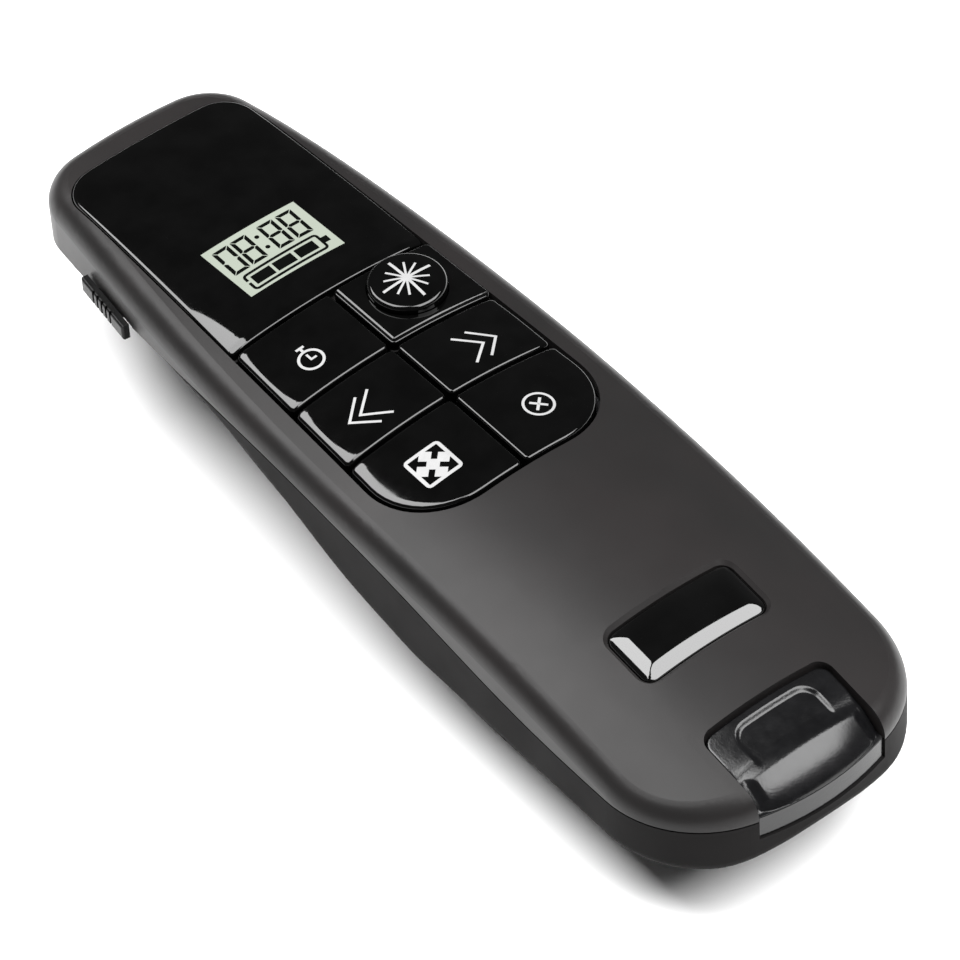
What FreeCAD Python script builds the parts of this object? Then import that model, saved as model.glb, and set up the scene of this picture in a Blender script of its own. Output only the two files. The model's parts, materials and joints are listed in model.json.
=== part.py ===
import FreeCAD, Part
import math
import os
import Sketcher
from FreeCAD import Placement, Rotation, Vector

# Wireless presentation clicker with a display, six keys and a stowed receiver.
# Millimetres. +Y points to the laser end, +Z is up, and the origin lies under
# the middle of the housing, on the surface that the clicker rests on.

os.makedirs("parts", exist_ok=True)
doc = FreeCAD.newDocument("presentation_clicker")

# Driving dimensions: alias, value, meaning
SIZES = [
    ("body_length", 128.0, "housing, tail to laser end"),
    ("body_width", 38.1, "housing at its widest"),
    ("body_height", 25.0, "rest plane to the top of the keys"),
    ("wall", 1.6, "housing wall"),
    ("seam", 0.22, "line between the two housing halves"),
    ("fit_gap", 0.2, "clearance round a piece that slides"),
    ("overrun", 3.0, "how far a cutting solid runs past"),
    ("tail_end_radius", 33.0, "plan radius of the tail end"),
    ("tail_corner_radius", 13.6, "plan radius of the tail corners"),
    ("side_radius", 430.0, "plan radius of the tapering sides"),
    ("nose_end_radius", 120.0, "plan radius of the laser end"),
    ("nose_corner_radius", 7.5, "plan radius of the corners at the laser end"),
    ("rim_radius", 3.0, "rounding of the top edge"),
    ("tray_edge_radius", 1.8, "rounding of the lower edge"),
    ("tail_sweep_radius", 5.5, "upward sweep of the underside at the tail"),
    ("tail_sweep_start", 0.6, "how far that sweep begins behind the tail"),
    ("crown_nose_radius", 140.0, "crosswise radius of the top at the laser end"),
    ("crown_tail_radius", 46.0, "crosswise radius of the top at the tail"),
    ("lip_height", 1.0, "tongue that centres the housing halves"),
    ("lip_thickness", 0.7, "thickness of that tongue"),
    ("face_nose_margin", 5.1, "laser end to the display window"),
    ("face_length", 72.0, "display window and keys together"),
    ("face_front_width", 25.1, "window width at its front edge"),
    ("face_rear_width", 31.1, "key field width, corners squared"),
    ("face_front_radius", 4.5, "front corners of the window"),
    ("face_rear_radius", 9.3, "rear corners of the key field"),
    ("face_gap", 0.45, "gap round the window and the keys"),
    ("key_gap", 0.5, "gap between two keys"),
    ("key_proud", 0.25, "keys above the housing"),
    ("window_length", 35.9, "display window along the clicker"),
    ("window_gap", 0.15, "gap round the display window"),
    ("shelf_thickness", 1.0, "shelf that the window is glued to"),
    ("first_row", 11.8, "length of the timer key"),
    ("second_row", 10.6, "length of the previous key"),
    ("key_edge_bevel", 0.4, "bevel of the key tops"),
    ("key_corner_radius", 0.7, "small corners of the keys in plan"),
    ("key_flange", 0.8, "ledge under the housing that keeps a key in"),
    ("key_flange_thickness", 0.6, "thickness of that ledge"),
    ("key_travel", 0.4, "how far a key goes down"),
    ("window_thickness", 1.4, "display window"),
    ("laser_key_diameter", 8.9, "round laser key"),
    ("laser_key_rise", 1.0, "laser key above its panel"),
    ("laser_key_dome", 14.0, "radius of the crown of the laser key"),
    ("laser_key_x", 6.85, "laser key from the centre line"),
    ("mat_thickness", 0.6, "rubber mat under the keys"),
    ("board_thickness", 1.0, "main circuit board"),
    ("board_level", 0.688, "underside of the main board, as a share of the body height"),
    ("board_length", 74.0, "main board along the clicker"),
    ("board_width", 26.0, "main board across"),
    ("board_nose_margin", 17.4, "laser end to the main board"),
    ("switch_body", 4.6, "side of a push switch on the board"),
    ("switch_height", 0.9, "height of a push switch"),
    ("switch_stem_diameter", 2.4, "stem of a push switch"),
    ("switch_stem_height", 0.3, "height of that stem"),
    ("display_length", 13.4, "display glass along the clicker"),
    ("display_width", 17.0, "display glass across"),
    ("display_thickness", 1.4, "display glass"),
    ("display_frame_wall", 1.0, "holder round the display glass"),
    ("display_centre", 11.0, "display centre from the rear edge of the window"),
    ("display_clearance", 0.35, "display glass to the window above it"),
    ("badge_width", 17.4, "badge recess across"),
    ("badge_length", 8.0, "badge recess along the clicker"),
    ("badge_depth", 1.0, "badge recess below the housing surface"),
    ("badge_corner", 1.6, "corner radius of the badge recess"),
    ("badge_tail_margin", 23.5, "tail to the badge centre"),
    ("badge_gap", 0.12, "gap round the badge"),
    ("badge_bevel", 0.45, "bevel round the badge recess"),
    ("receiver_width", 17.2, "receiver housing across"),
    ("receiver_length", 11.1, "receiver housing at the tail"),
    ("receiver_corner", 1.5, "front corners of the receiver in plan"),
    ("receiver_floor_level", 0.520, "underside of the receiver housing, as a share of the body height"),
    ("receiver_seam_level", 0.640, "line between receiver cover and base, the same way"),
    ("receiver_seam", 0.15, "gap along that line"),
    ("receiver_wall", 1.1, "receiver housing wall"),
    ("receiver_inset", 0.25, "receiver surface inside the housing surface"),
    ("receiver_step", 0.4, "level thumb rest on the receiver, below its crown"),
    ("receiver_step_length", 6.3, "that thumb rest along the clicker"),
    ("hollow_width", 11.2, "finger hollow across"),
    ("hollow_length", 4.6, "finger hollow along the clicker"),
    ("hollow_depth", 0.9, "finger hollow at its deepest"),
    ("hollow_margin", 1.0, "front edge of the receiver to the hollow"),
    ("bay_wall", 1.0, "walls of the receiver bay"),
    ("plug_width", 12.0, "metal plug shell across"),
    ("plug_height", 4.5, "metal plug shell height"),
    ("plug_length", 15.0, "plug shell out of the receiver"),
    ("plug_root", 4.5, "plug shell inside the receiver"),
    ("plug_metal", 0.3, "sheet of the plug shell"),
    ("plug_level", 0.656, "plug axis, the same way"),
    ("tongue_thickness", 1.8, "contact tongue in the plug"),
    ("tongue_recess", 0.5, "plug mouth to the tongue"),
    ("contact_width", 1.1, "gold contact on the tongue"),
    ("contact_pitch", 2.4, "spacing of the gold contacts"),
    ("contact_thickness", 0.12, "gold contact above the tongue"),
    ("contact_length", 8.0, "gold contact along the tongue"),
    ("board_overhang", 3.6, "receiver board behind the plug shell"),
    ("receiver_travel", 24.0, "pull that frees the receiver"),
    ("cell_diameter", 10.5, "AAA cell"),
    ("cell_length", 44.5, "AAA cell with its nub"),
    ("cell_nub_diameter", 3.8, "nub of the cell"),
    ("cell_nub_height", 0.8, "height of the nub"),
    ("cell_edge", 0.5, "rounded ends of the cell"),
    ("cell_spacing", 11.2, "distance between the cell axes"),
    ("cell_z", 8.8, "cell axes above the rest plane"),
    ("cell_bay_rear_y", -31.9, "rear end of the cell bay"),
    ("cell_bay_length", 49.2, "cell bay along the clicker"),
    ("cell_bay_gap", 0.35, "clearance round the cells"),
    ("cell_bay_wall", 1.0, "walls of the cell bay"),
    ("contact_plate", 0.4, "battery contact plates"),
    ("contact_plate_width", 8.4, "battery contact plate across"),
    ("spring_wire", 0.6, "battery spring wire"),
    ("spring_base_radius", 3.3, "battery spring at its plate"),
    ("spring_tip_radius", 2.1, "battery spring at the cell"),
    ("spring_turns", 3.0, "turns of a battery spring"),
    ("door_top_z", 8.0, "upper edge of the battery door"),
    ("door_gap", 0.25, "gap between the door and the housing"),
    ("door_front_y", 19.9, "front edge of the battery door"),
    ("floor_z", 8.25, "underside of the floor over the door"),
    ("floor_thickness", 1.3, "floor over the door"),
    ("rail_inner_x", 11.6, "inner face of a door rail"),
    ("rail_stem", 0.8, "thickness of a door rail"),
    ("rail_flange", 0.7, "foot of a door rail, outwards"),
    ("rail_height", 2.35, "door rail below the floor"),
    ("rail_foot", 0.8, "thickness of the foot"),
    ("rail_front_y", -8.0, "front end of the door rails"),
    ("rail_length", 9.5, "door rails along the clicker"),
    ("door_travel", 10.0, "slide that frees the door from its rails"),
    ("grip_count_pitch", 2.2, "spacing of the thumb grooves on the door"),
    ("grip_width", 1.0, "width of a thumb groove"),
    ("grip_length", 12.0, "length of a thumb groove"),
    ("grip_depth", 0.35, "depth of a thumb groove"),
    ("slider_nose_margin", 19.5, "laser end to the side switch"),
    ("slider_level", 0.664, "side switch, the same way"),
    ("slider_length", 9.8, "side switch knob along the clicker"),
    ("slider_height", 2.1, "side switch knob height"),
    ("slider_rise", 1.15, "knob out of the housing side"),
    ("slider_neck", 4.2, "neck of the knob, along the clicker"),
    ("slider_neck_height", 1.1, "height of that neck"),
    ("slider_travel", 2.6, "travel of the side switch"),
    ("slider_grip_depth", 0.3, "depth of the grip grooves"),
    ("slider_grip_width", 0.45, "width of the grip grooves"),
    ("slider_grip_pitch", 1.0, "spacing of the grip grooves"),
    ("slide_body_length", 8.6, "slide switch body on the board"),
    ("slide_body_depth", 3.4, "slide switch body across"),
    ("slide_body_height", 1.7, "slide switch body height"),
    ("laser_level", 0.656, "laser axis, the same way"),
    ("laser_diameter", 6.0, "laser barrel"),
    ("laser_length", 12.0, "laser barrel along the clicker"),
    ("laser_tip_diameter", 3.6, "narrow front end of the barrel"),
    ("laser_tip_length", 1.6, "length of the narrow front end"),
    ("bezel_diameter", 5.2, "ring in the laser end"),
    ("bezel_bore", 3.0, "opening of that ring"),
    ("bezel_flange", 0.6, "step of the ring behind the wall"),
    ("bezel_flange_length", 0.9, "length of that step"),
    ("window_disc", 0.8, "clear disc in the ring"),
    ("cradle_width", 3.0, "saddle under the laser barrel, along it"),
    ("cradle_wall", 1.2, "saddle wall beside the barrel"),
    ("screw_diameter", 2.0, "case screw shank"),
    ("screw_length", 8.0, "case screw shank length"),
    ("screw_head_diameter", 3.6, "case screw head"),
    ("screw_head_height", 1.3, "case screw head height"),
    ("screw_slot", 0.6, "cross slot of a screw"),
    ("screw_slot_depth", 0.6, "depth of the cross slot"),
    ("boss_diameter", 5.2, "screw boss"),
    ("tail_screw_x", 12.6, "tail screws from the centre line"),
    ("tail_screw_margin", 13.0, "tail to the tail screws"),
    ("nose_screw_x", 7.2, "front screws from the centre line"),
    ("nose_screw_margin", 13.6, "laser end to the front screws"),
    ("screw_seat_level", 0.424, "shoulder under the screw heads, the same way"),
    ("chip_size", 5.0, "radio chip side"),
    ("chip_height", 0.9, "radio chip height"),
    ("crystal_length", 3.2, "crystal along the board"),
    ("crystal_width", 2.5, "crystal across"),
    ("crystal_height", 0.8, "crystal height"),
]

# Stations along the housing, as shares of half its length from the middle
CROWN_STATION_SHARES = (-1.0, -0.70, -0.42, 0.05, 0.52, 1.0)
# Height of the top centre line there, as shares of the body height
CROWN_HEIGHT_SHARES = (0.752, 0.896, 0.972, 0.990, 0.966, 0.856)
# The line between the housing halves: stations and heights
PARTING_STATION_SHARES = (-1.0, -0.80, -0.55, -0.22, 0.17, 0.59, 1.0)
PARTING_HEIGHT_SHARES = (0.632, 0.608, 0.616, 0.730, 0.796, 0.692, 0.552)
# The flat underside that the belly grows out of: stations and heights
TRAY_STATION_SHARES = (-0.28, -0.16, -0.05, 0.07, 0.20, 0.36, 0.60, 1.0)
TRAY_HEIGHT_SHARES = (0.336, 0.376, 0.436, 0.535, 0.628, 0.678, 0.648, 0.504)
# The belly: station, half width at the top, height of the top, half width
# at the bottom, height of the bottom and corner radius, as shares of half
# the length, half the width, the height, half the width, the height, the height
BELLY_SHARES = (
    (-0.75, 0.890, 0.46, 0.790, 0.380, 0.06),
    (-0.625, 0.925, 0.46, 0.840, 0.140, 0.20),
    (-0.42, 0.935, 0.48, 0.840, 0.000, 0.28),
    (-0.155, 0.935, 0.60, 0.805, 0.000, 0.32),
    (0.125, 0.915, 0.70, 0.690, 0.014, 0.32),
    (0.50, 0.850, 0.70, 0.550, 0.120, 0.28),
    (0.78, 0.765, 0.64, 0.485, 0.240, 0.20),
    (0.91, 0.680, 0.60, 0.420, 0.330, 0.16),
    (1.01, 0.470, 0.56, 0.290, 0.500, 0.04),
)


class Length:
    """A length with its value and the expression that gives it."""

    def __init__(self, value, text):
        self.value = value
        self.text = text

    def __float__(self):
        return self.value

    def joined(self, other, sign, result):
        if not isinstance(other, Length):
            other = Length(float(other), repr(float(other)))
        return Length(result(self.value, other.value), f"({self.text} {sign} {other.text})")

    def __add__(self, other):
        return self.joined(other, "+", lambda a, b: a + b)

    def __sub__(self, other):
        return self.joined(other, "-", lambda a, b: a - b)

    def __mul__(self, other):
        return self.joined(other, "*", lambda a, b: a * b)

    def __truediv__(self, other):
        return self.joined(other, "/", lambda a, b: a / b)

    def __neg__(self):
        return self * -1


class Sizes:
    """The driving dimensions by name, read from the sheet."""

    def __init__(self, rows):
        self.sheet = doc.addObject("Spreadsheet::Sheet", "sizes")
        for row, (alias, value, meaning) in enumerate(rows, start=1):
            self.sheet.set(f"A{row}", meaning)
            self.sheet.set(f"B{row}", str(value))
            self.sheet.setAlias(f"B{row}", alias)
        doc.recompute()
        for alias, _, _ in rows:
            setattr(self, alias, Length(float(self.sheet.get(alias)), f"sizes.{alias}"))


size = Sizes(SIZES)

# Places that follow from the driving dimensions
nose_y = size.body_length / 2
tail_y = -nose_y
half_width = size.body_width / 2
face_front_y = nose_y - size.face_nose_margin
face_rear_y = face_front_y - size.face_length
window_rear_y = face_front_y - size.window_length
second_row_y = window_rear_y - size.first_row
third_row_y = second_row_y - size.second_row
board_z = size.body_height * size.board_level
receiver_floor = size.body_height * size.receiver_floor_level
receiver_seam_z = size.body_height * size.receiver_seam_level
plug_z = size.body_height * size.plug_level
slider_z = size.body_height * size.slider_level
laser_z = size.body_height * size.laser_level
screw_seat_z = size.body_height * size.screw_seat_level
board_top = board_z + size.board_thickness
mat_z = board_top + size.switch_height + size.switch_stem_height
flange_z = mat_z + size.mat_thickness + size.key_travel + size.fit_gap / 2
cap_z = flange_z + size.key_flange_thickness
badge_y = tail_y + size.badge_tail_margin
receiver_front_y = tail_y + size.receiver_length
notch_front_y = receiver_front_y + size.fit_gap
slider_y = nose_y - size.slider_nose_margin
cell_bay_front_y = size.cell_bay_rear_y + size.cell_bay_length
sky = size.body_height + size.overrun


def number(length):
    return float(length)


def box(x, y, z):
    """A box from its low and high values along each axis."""
    low = Vector(number(x[0]), number(y[0]), number(z[0]))
    high = Vector(number(x[1]), number(y[1]), number(z[1]))
    across = high - low
    return Part.makeBox(across.x, across.y, across.z, low)


def upright(radius, height, x, y, z):
    return Part.makeCylinder(number(radius), number(height), Vector(number(x), number(y), number(z)))


def lying(radius, length, x, y, z):
    """A cylinder along +Y."""
    start = Vector(number(x), number(y), number(z))
    return Part.makeCylinder(number(radius), number(length), start, Vector(0, 1, 0))


def mirrored(shape):
    return shape.mirror(Vector(0, 0, 0), Vector(1, 0, 0))


def joined(shapes):
    """One solid from shapes that overlap or share faces."""
    whole = shapes[0]
    if len(shapes) > 1:
        whole = whole.fuse(shapes[1:])
    whole = whole.removeSplitter()
    return largest_solid(whole) if len(whole.Solids) == 1 else whole


def largest_solid(shape):
    return max(shape.Solids, key=lambda solid: solid.Volume)


# Housing surfaces


def arc_between(centre, radius, start, end):
    towards = (start - centre) + (end - centre)
    middle = centre + towards.normalize() * radius
    return Part.Arc(start, middle, end).toShape()


def mirror_points(points):
    return [Vector(-point.x, point.y, point.z) for point in points]


def outline_wire(inset, z):
    """Plan outline of the housing: tangent arcs, drawn in by inset."""
    half = number(half_width)
    tail_radius = number(size.tail_end_radius)
    tail_corner = number(size.tail_corner_radius)
    side = number(size.side_radius)
    nose_radius = number(size.nose_end_radius)
    nose_corner = number(size.nose_corner_radius)
    tail_centre = Vector(0, number(tail_y) + tail_radius, z)
    nose_centre = Vector(0, number(nose_y) - nose_radius, z)
    corner_x = half - tail_corner
    drop = math.sqrt((tail_radius - tail_corner) ** 2 - corner_x ** 2)
    tail_corner_centre = Vector(corner_x, tail_centre.y - drop, z)
    taper_start = tail_corner_centre.y + taper_share * number(size.body_length)
    side_centre = Vector(half - side, taper_start, z)
    nose_corner_centre = circles_meet(side_centre, side - nose_corner, nose_centre, nose_radius - nose_corner)
    tail_join = tail_centre + (tail_corner_centre - tail_centre).normalize() * (tail_radius - inset)
    side_low = Vector(half - inset, tail_corner_centre.y, z)
    side_high = Vector(half - inset, taper_start, z)
    side_join = side_centre + (nose_corner_centre - side_centre).normalize() * (side - inset)
    nose_join = nose_centre + (nose_corner_centre - nose_centre).normalize() * (nose_radius - inset)
    right = [
        arc_between(tail_corner_centre, tail_corner - inset, tail_join, side_low),
        Part.LineSegment(side_low, side_high).toShape(),
        arc_between(side_centre, side - inset, side_high, side_join),
        arc_between(nose_corner_centre, nose_corner - inset, side_join, nose_join),
    ]
    left = [mirrored(edge) for edge in right]
    nose_end = arc_between(nose_centre, nose_radius - inset, nose_join, mirror_points([nose_join])[0])
    tail_end = arc_between(tail_centre, tail_radius - inset, mirror_points([tail_join])[0], tail_join)
    return Part.Wire(Part.__sortEdges__([tail_end] + right + [nose_end] + left))


def circles_meet(centre_a, radius_a, centre_b, radius_b):
    """Where two circles meet, on the side of +X and +Y."""
    between = centre_b - centre_a
    distance = between.Length
    along = (radius_a ** 2 - radius_b ** 2 + distance ** 2) / (2 * distance)
    across = math.sqrt(radius_a ** 2 - along ** 2)
    unit = between / distance
    foot = centre_a + unit * along
    side = Vector(-unit.y, unit.x, 0)
    meetings = [foot + side * across, foot - side * across]
    return max(meetings, key=lambda point: point.y)


taper_share = 0.335


def outline_prism(inset, low, high):
    face = Part.Face(outline_wire(inset, low))
    return face.extrude(Vector(0, 0, high - low))


def station_heights(station_shares, height_shares):
    half_length = number(nose_y)
    height = number(size.body_height)
    return [(station * half_length, share * height) for station, share in zip(station_shares, height_shares)]


def crown_solid(inset):
    """Everything below the crowned top, lowered by inset."""
    reach = number(half_width + size.overrun)
    bottom = -number(size.overrun)
    nose_curve = 1 / number(size.crown_nose_radius)
    tail_curve = 1 / number(size.crown_tail_radius)
    sections = []
    stations = station_heights(CROWN_STATION_SHARES, CROWN_HEIGHT_SHARES)
    for (y, top), share in zip(stations, CROWN_STATION_SHARES):
        curve = tail_curve + (nose_curve - tail_curve) * (share + 1) / 2
        radius = 1 / curve - inset
        edge_z = top - inset - radius + math.sqrt(radius ** 2 - reach ** 2)
        end_y = y + number(size.overrun) * (round(share) if abs(share) == 1 else 0)
        left = Vector(-reach, end_y, edge_z)
        right = Vector(reach, end_y, edge_z)
        arc = Part.Arc(left, Vector(0, end_y, top - inset), right).toShape()
        low_right = Vector(reach, end_y, bottom)
        low_left = Vector(-reach, end_y, bottom)
        rest = Part.makePolygon([right, low_right, low_left, left])
        sections.append(Part.Wire([arc] + rest.Edges))
    return Part.makeLoft(sections, True, False)


def top_face(shape):
    return max(shape.Faces, key=lambda face: face.CenterOfMass.z)


def bottom_face(shape):
    return min(shape.Faces, key=lambda face: face.CenterOfMass.z)


def upper_blank(inset):
    """The housing above: plan outline under the crown, rim rounded.

    The inner surface, drawn in by the wall, keeps its corner, so the wall
    thins towards the rim as it does in a moulding.
    """
    inset = number(inset)
    block = outline_prism(inset, 0, number(size.body_height + size.overrun))
    block = block.common(crown_solid(inset))
    if inset > number(size.rim_radius) / 2:
        return block
    return block.makeFillet(number(size.rim_radius) - inset, top_face(block).Edges)


def underside_solid(inset):
    """Everything above the underside of the tray, raised by inset."""
    overrun = number(size.overrun)
    side = -number(half_width) - overrun
    points = []
    for share, (y, z) in zip(TRAY_STATION_SHARES, station_heights(TRAY_STATION_SHARES, TRAY_HEIGHT_SHARES)):
        end_y = y + (overrun if share == 1 else 0)
        points.append(Vector(side, end_y, z + inset))
    curve = Part.BSplineCurve()
    curve.interpolate(Points=points, InitialTangent=Vector(0, 1, 0), FinalTangent=points[-1] - points[-2])
    radius = number(size.tail_sweep_radius) - inset
    centre = Vector(side, number(tail_y - size.tail_sweep_start + size.tail_sweep_radius), points[0].z + radius)
    tail_end = centre - Vector(0, radius, 0)
    tail_join = centre - Vector(0, 0, radius)
    high_tail = Vector(side, tail_end.y, number(sky))
    high_nose = Vector(side, points[-1].y, number(sky))
    face = Part.Face(Part.Wire([
        arc_between(centre, radius, tail_end, tail_join),
        Part.LineSegment(tail_join, points[0]).toShape(),
        curve.toShape(),
        Part.LineSegment(points[-1], high_nose).toShape(),
        Part.LineSegment(high_nose, high_tail).toShape(),
        Part.LineSegment(high_tail, tail_end).toShape(),
    ]))
    return face.extrude(Vector(-2 * side, 0, 0))


def faces_down(face):
    low_u, high_u, low_v, high_v = face.ParameterRange
    return face.normalAt((low_u + high_u) / 2, (low_v + high_v) / 2).z < -0.5


def lower_rim(block):
    """Edges between the underside faces and the side wall."""
    underside = [face for face in block.Faces if faces_down(face)]
    edges = []
    for face in underside:
        for edge in face.Edges:
            shared = [other for other in underside if any(edge.isSame(item) for item in other.Edges)]
            if len(shared) == 1:
                edges.append(edge)
    return edges


def tray_blank(inset):
    """The lower housing without its belly, lower edge rounded outside."""
    block = outline_prism(inset, 0, number(size.body_height))
    block = block.common(underside_solid(inset))
    if inset > number(size.tray_edge_radius) / 2:
        return block
    return block.makeFillet(number(size.tray_edge_radius) - inset, lower_rim(block))


def belly_section(shares, inset):
    """A trapezium with rounded lower corners, across the clicker."""
    station, top_half, top, bottom_half, bottom, corner = shares
    y = station * number(nose_y)
    height = number(size.body_height)
    top_x = top_half * number(half_width) - inset
    top_z = top * height + inset
    bottom_x = bottom_half * number(half_width) - inset
    bottom_z = bottom * height + inset
    radius = max(corner * height - inset, number(size.fit_gap))
    slope = math.atan2(top_x - bottom_x, top_z - bottom_z)
    turn = math.pi / 2 - slope
    reach = radius * math.tan(turn / 2)
    centre = Vector(bottom_x - reach, y, bottom_z + radius)
    bottom_join = Vector(bottom_x - reach, y, bottom_z)
    side_join = centre + Vector(math.cos(slope), 0, -math.sin(slope)) * radius
    top_point = Vector(top_x, y, top_z)
    arc = arc_between(centre, radius, bottom_join, side_join)
    left_top, left_side, left_bottom = mirror_points([top_point, side_join, bottom_join])
    return Part.Wire([
        Part.LineSegment(left_bottom, bottom_join).toShape(),
        arc,
        Part.LineSegment(side_join, top_point).toShape(),
        Part.LineSegment(top_point, left_top).toShape(),
        Part.LineSegment(left_top, left_side).toShape(),
        arc_between(Vector(-centre.x, y, centre.z), radius, left_side, left_bottom),
    ])


def belly_blank(inset):
    sections = [belly_section(shares, inset) for shares in BELLY_SHARES]
    loft = Part.makeLoft(sections, True, False)
    return loft.common(outline_prism(inset, inset, number(size.body_height)))


def lower_blank(inset):
    inset = number(inset)
    return tray_blank(inset).fuse(belly_blank(inset))


def parting_solid(offset, above):
    """All that lies above, or below, the line between the halves."""
    offset = number(offset)
    stations = station_heights(PARTING_STATION_SHARES, PARTING_HEIGHT_SHARES)
    overrun = number(size.overrun)
    points = []
    for share, (y, z) in zip(PARTING_STATION_SHARES, stations):
        end_y = y + overrun * (round(share) if abs(share) == 1 else 0)
        points.append(Vector(-number(half_width) - overrun, end_y, z + offset))
    curve = Part.BSplineCurve()
    curve.interpolate(points)
    level = number(size.body_height) + overrun if above else -overrun
    start = Vector(points[0].x, points[0].y, level)
    end = Vector(points[-1].x, points[-1].y, level)
    sides = [
        Part.LineSegment(points[-1], end).toShape(),
        Part.LineSegment(end, start).toShape(),
        Part.LineSegment(start, points[0]).toShape(),
    ]
    face = Part.Face(Part.Wire([curve.toShape()] + sides))
    return face.extrude(Vector(2 * (number(half_width) + overrun), 0, 0))


def rounded_polygon(corners, radii, z):
    """A closed wire through corners, each rounded by its radius."""
    count = len(corners)
    edges = []
    joins = []
    for index in range(count):
        here = Vector(corners[index][0], corners[index][1], z)
        before = Vector(corners[index - 1][0], corners[index - 1][1], z)
        after = Vector(corners[(index + 1) % count][0], corners[(index + 1) % count][1], z)
        radius = radii[index]
        to_before = (before - here).normalize()
        to_after = (after - here).normalize()
        if radius <= 0:
            joins.append((here, here))
            continue
        half_angle = to_before.getAngle(to_after) / 2
        reach = radius / math.tan(half_angle)
        bisector = (to_before + to_after).normalize()
        middle = here + bisector * (radius / math.sin(half_angle) - radius)
        start = here + to_before * reach
        end = here + to_after * reach
        joins.append((start, end))
        edges.append(Part.Arc(start, middle, end).toShape())
    for index in range(count):
        start = joins[index][1]
        end = joins[(index + 1) % count][0]
        edges.append(Part.LineSegment(start, end).toShape())
    return Part.Wire(Part.__sortEdges__(edges))


# Display window and key field


def face_half_width(y):
    """Half width of the window and key field at y, before any gap."""
    share = (number(face_front_y) - y) / number(size.face_length)
    front = number(size.face_front_width) / 2
    rear = number(size.face_rear_width) / 2
    return front + (rear - front) * share


def face_patch(rows, side, margin, z_low, z_high):
    """A prism over part of the face, cut in by margin at the housing.

    rows gives its low and high y. side is left, right or both; a piece on
    one side ends half a key gap from the centre line.
    """
    low, high = [number(y) for y in rows]
    margin = number(margin)
    inner = number(size.key_gap) / 2
    small = number(size.key_corner_radius)
    rear_radius = number(size.face_rear_radius) - margin if low < number(third_row_y) - inner * 2 else small
    front_radius = number(size.face_front_radius) - margin if high > number(window_rear_y) + inner * 2 else small
    right_low, right_high = face_half_width(low) - margin, face_half_width(high) - margin
    left_low, left_high = -right_low, -right_high
    radii = [rear_radius, front_radius, front_radius, rear_radius]
    if side == "left":
        right_low = right_high = -inner
        radii[:2] = [small, small]
    if side == "right":
        left_low = left_high = inner
        radii[2:] = [small, small]
    corners = [(right_low, low), (right_high, high), (left_high, high), (left_low, low)]
    face = Part.Face(rounded_polygon(corners, radii, number(z_low)))
    return face.extrude(Vector(0, 0, number(z_high) - number(z_low)))


def face_opening(margin):
    low = number(face_rear_y) + number(margin)
    high = number(face_front_y) - number(margin)
    return face_patch((low, high), "both", margin, board_z, sky)


def bevelled_top(piece, reach):
    return piece.makeChamfer(number(reach), top_face(piece).Edges)


def add_part(name, shape, placement=None):
    """A finished sub-part with its own shape."""
    part = doc.addObject("Part::Feature", name)
    part.Label = name
    part.Shape = shape
    part.Placement = placement or Placement()
    return part


def crowned(patch):
    """The patch cut to the top surface of the keys, its edge bevelled."""
    return bevelled_top(patch.common(crown_solid(-number(size.key_proud))), size.key_edge_bevel)


def display_lens():
    """Glossy window that follows the crown."""
    rows = (window_rear_y + size.key_gap / 2, face_front_y - size.window_gap)
    window = crowned(face_patch(rows, "both", size.window_gap, board_z, sky))
    window = window.cut(crown_solid(number(size.window_thickness - size.key_proud)))
    return add_part("display_lens", largest_solid(window))


def laser_panel():
    """Glossy square round the laser key."""
    rows = (second_row_y + size.key_gap / 2, window_rear_y - size.key_gap / 2)
    panel = crowned(face_patch(rows, "right", size.window_gap, board_z, sky))
    panel = panel.cut(crown_solid(number(size.window_thickness - size.key_proud)))
    hole = laser_key_cylinder(size.fit_gap)
    return add_part("laser_panel", largest_solid(panel.cut(hole)))


def laser_key_cylinder(gap):
    y = (second_row_y + window_rear_y) / 2
    return upright(number(size.laser_key_diameter) / 2 + number(gap), size.body_height, size.laser_key_x, y, 0)


def key_cap(name, row_low, row_high, side):
    """A key: crowned top, bevelled edges and a flange under the housing."""
    last_row = number(row_low) == number(face_rear_y)
    low = row_low + (size.face_gap if last_row else size.key_gap / 2)
    high = row_high - size.key_gap / 2
    cap = crowned(face_patch((low, high), side, size.face_gap, flange_z, sky))
    ledge_low = low - size.key_flange if last_row else low
    ledge = face_patch((ledge_low, high), side, size.face_gap - size.key_flange, flange_z, cap_z)
    return add_part(name, joined([cap, ledge]))


# Sketch and body helpers

PLANES = {"XY": "XY_Plane", "XZ": "XZ_Plane", "YZ": "YZ_Plane"}


def new_body(name):
    body = doc.addObject("PartDesign::Body", name)
    body.Label = name
    return body


def bind(target, field, length):
    """Set a property from a length's expression, or from plain zero."""
    if isinstance(length, Length):
        target.setExpression(field, length.text)


def new_sketch(body, name, plane, offset, half_turn=False):
    """A sketch on one of the body's planes, moved along its own axes."""
    sketch = body.newObject("Sketcher::SketchObject", name)
    role = PLANES[plane]
    origin_plane = next(item for item in body.Origin.OriginFeatures if item.Role == role)
    sketch.AttachmentSupport = [(origin_plane, "")]
    sketch.MapMode = "FlatFace"
    turn = Rotation(Vector(0, 0, 1), 180 if half_turn else 0)
    sketch.AttachmentOffset = Placement(Vector(*[number(value) for value in offset]), turn)
    for axis, value in zip("xyz", offset):
        bind(sketch, f"AttachmentOffset.Base.{axis}", value)
    return sketch


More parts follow.
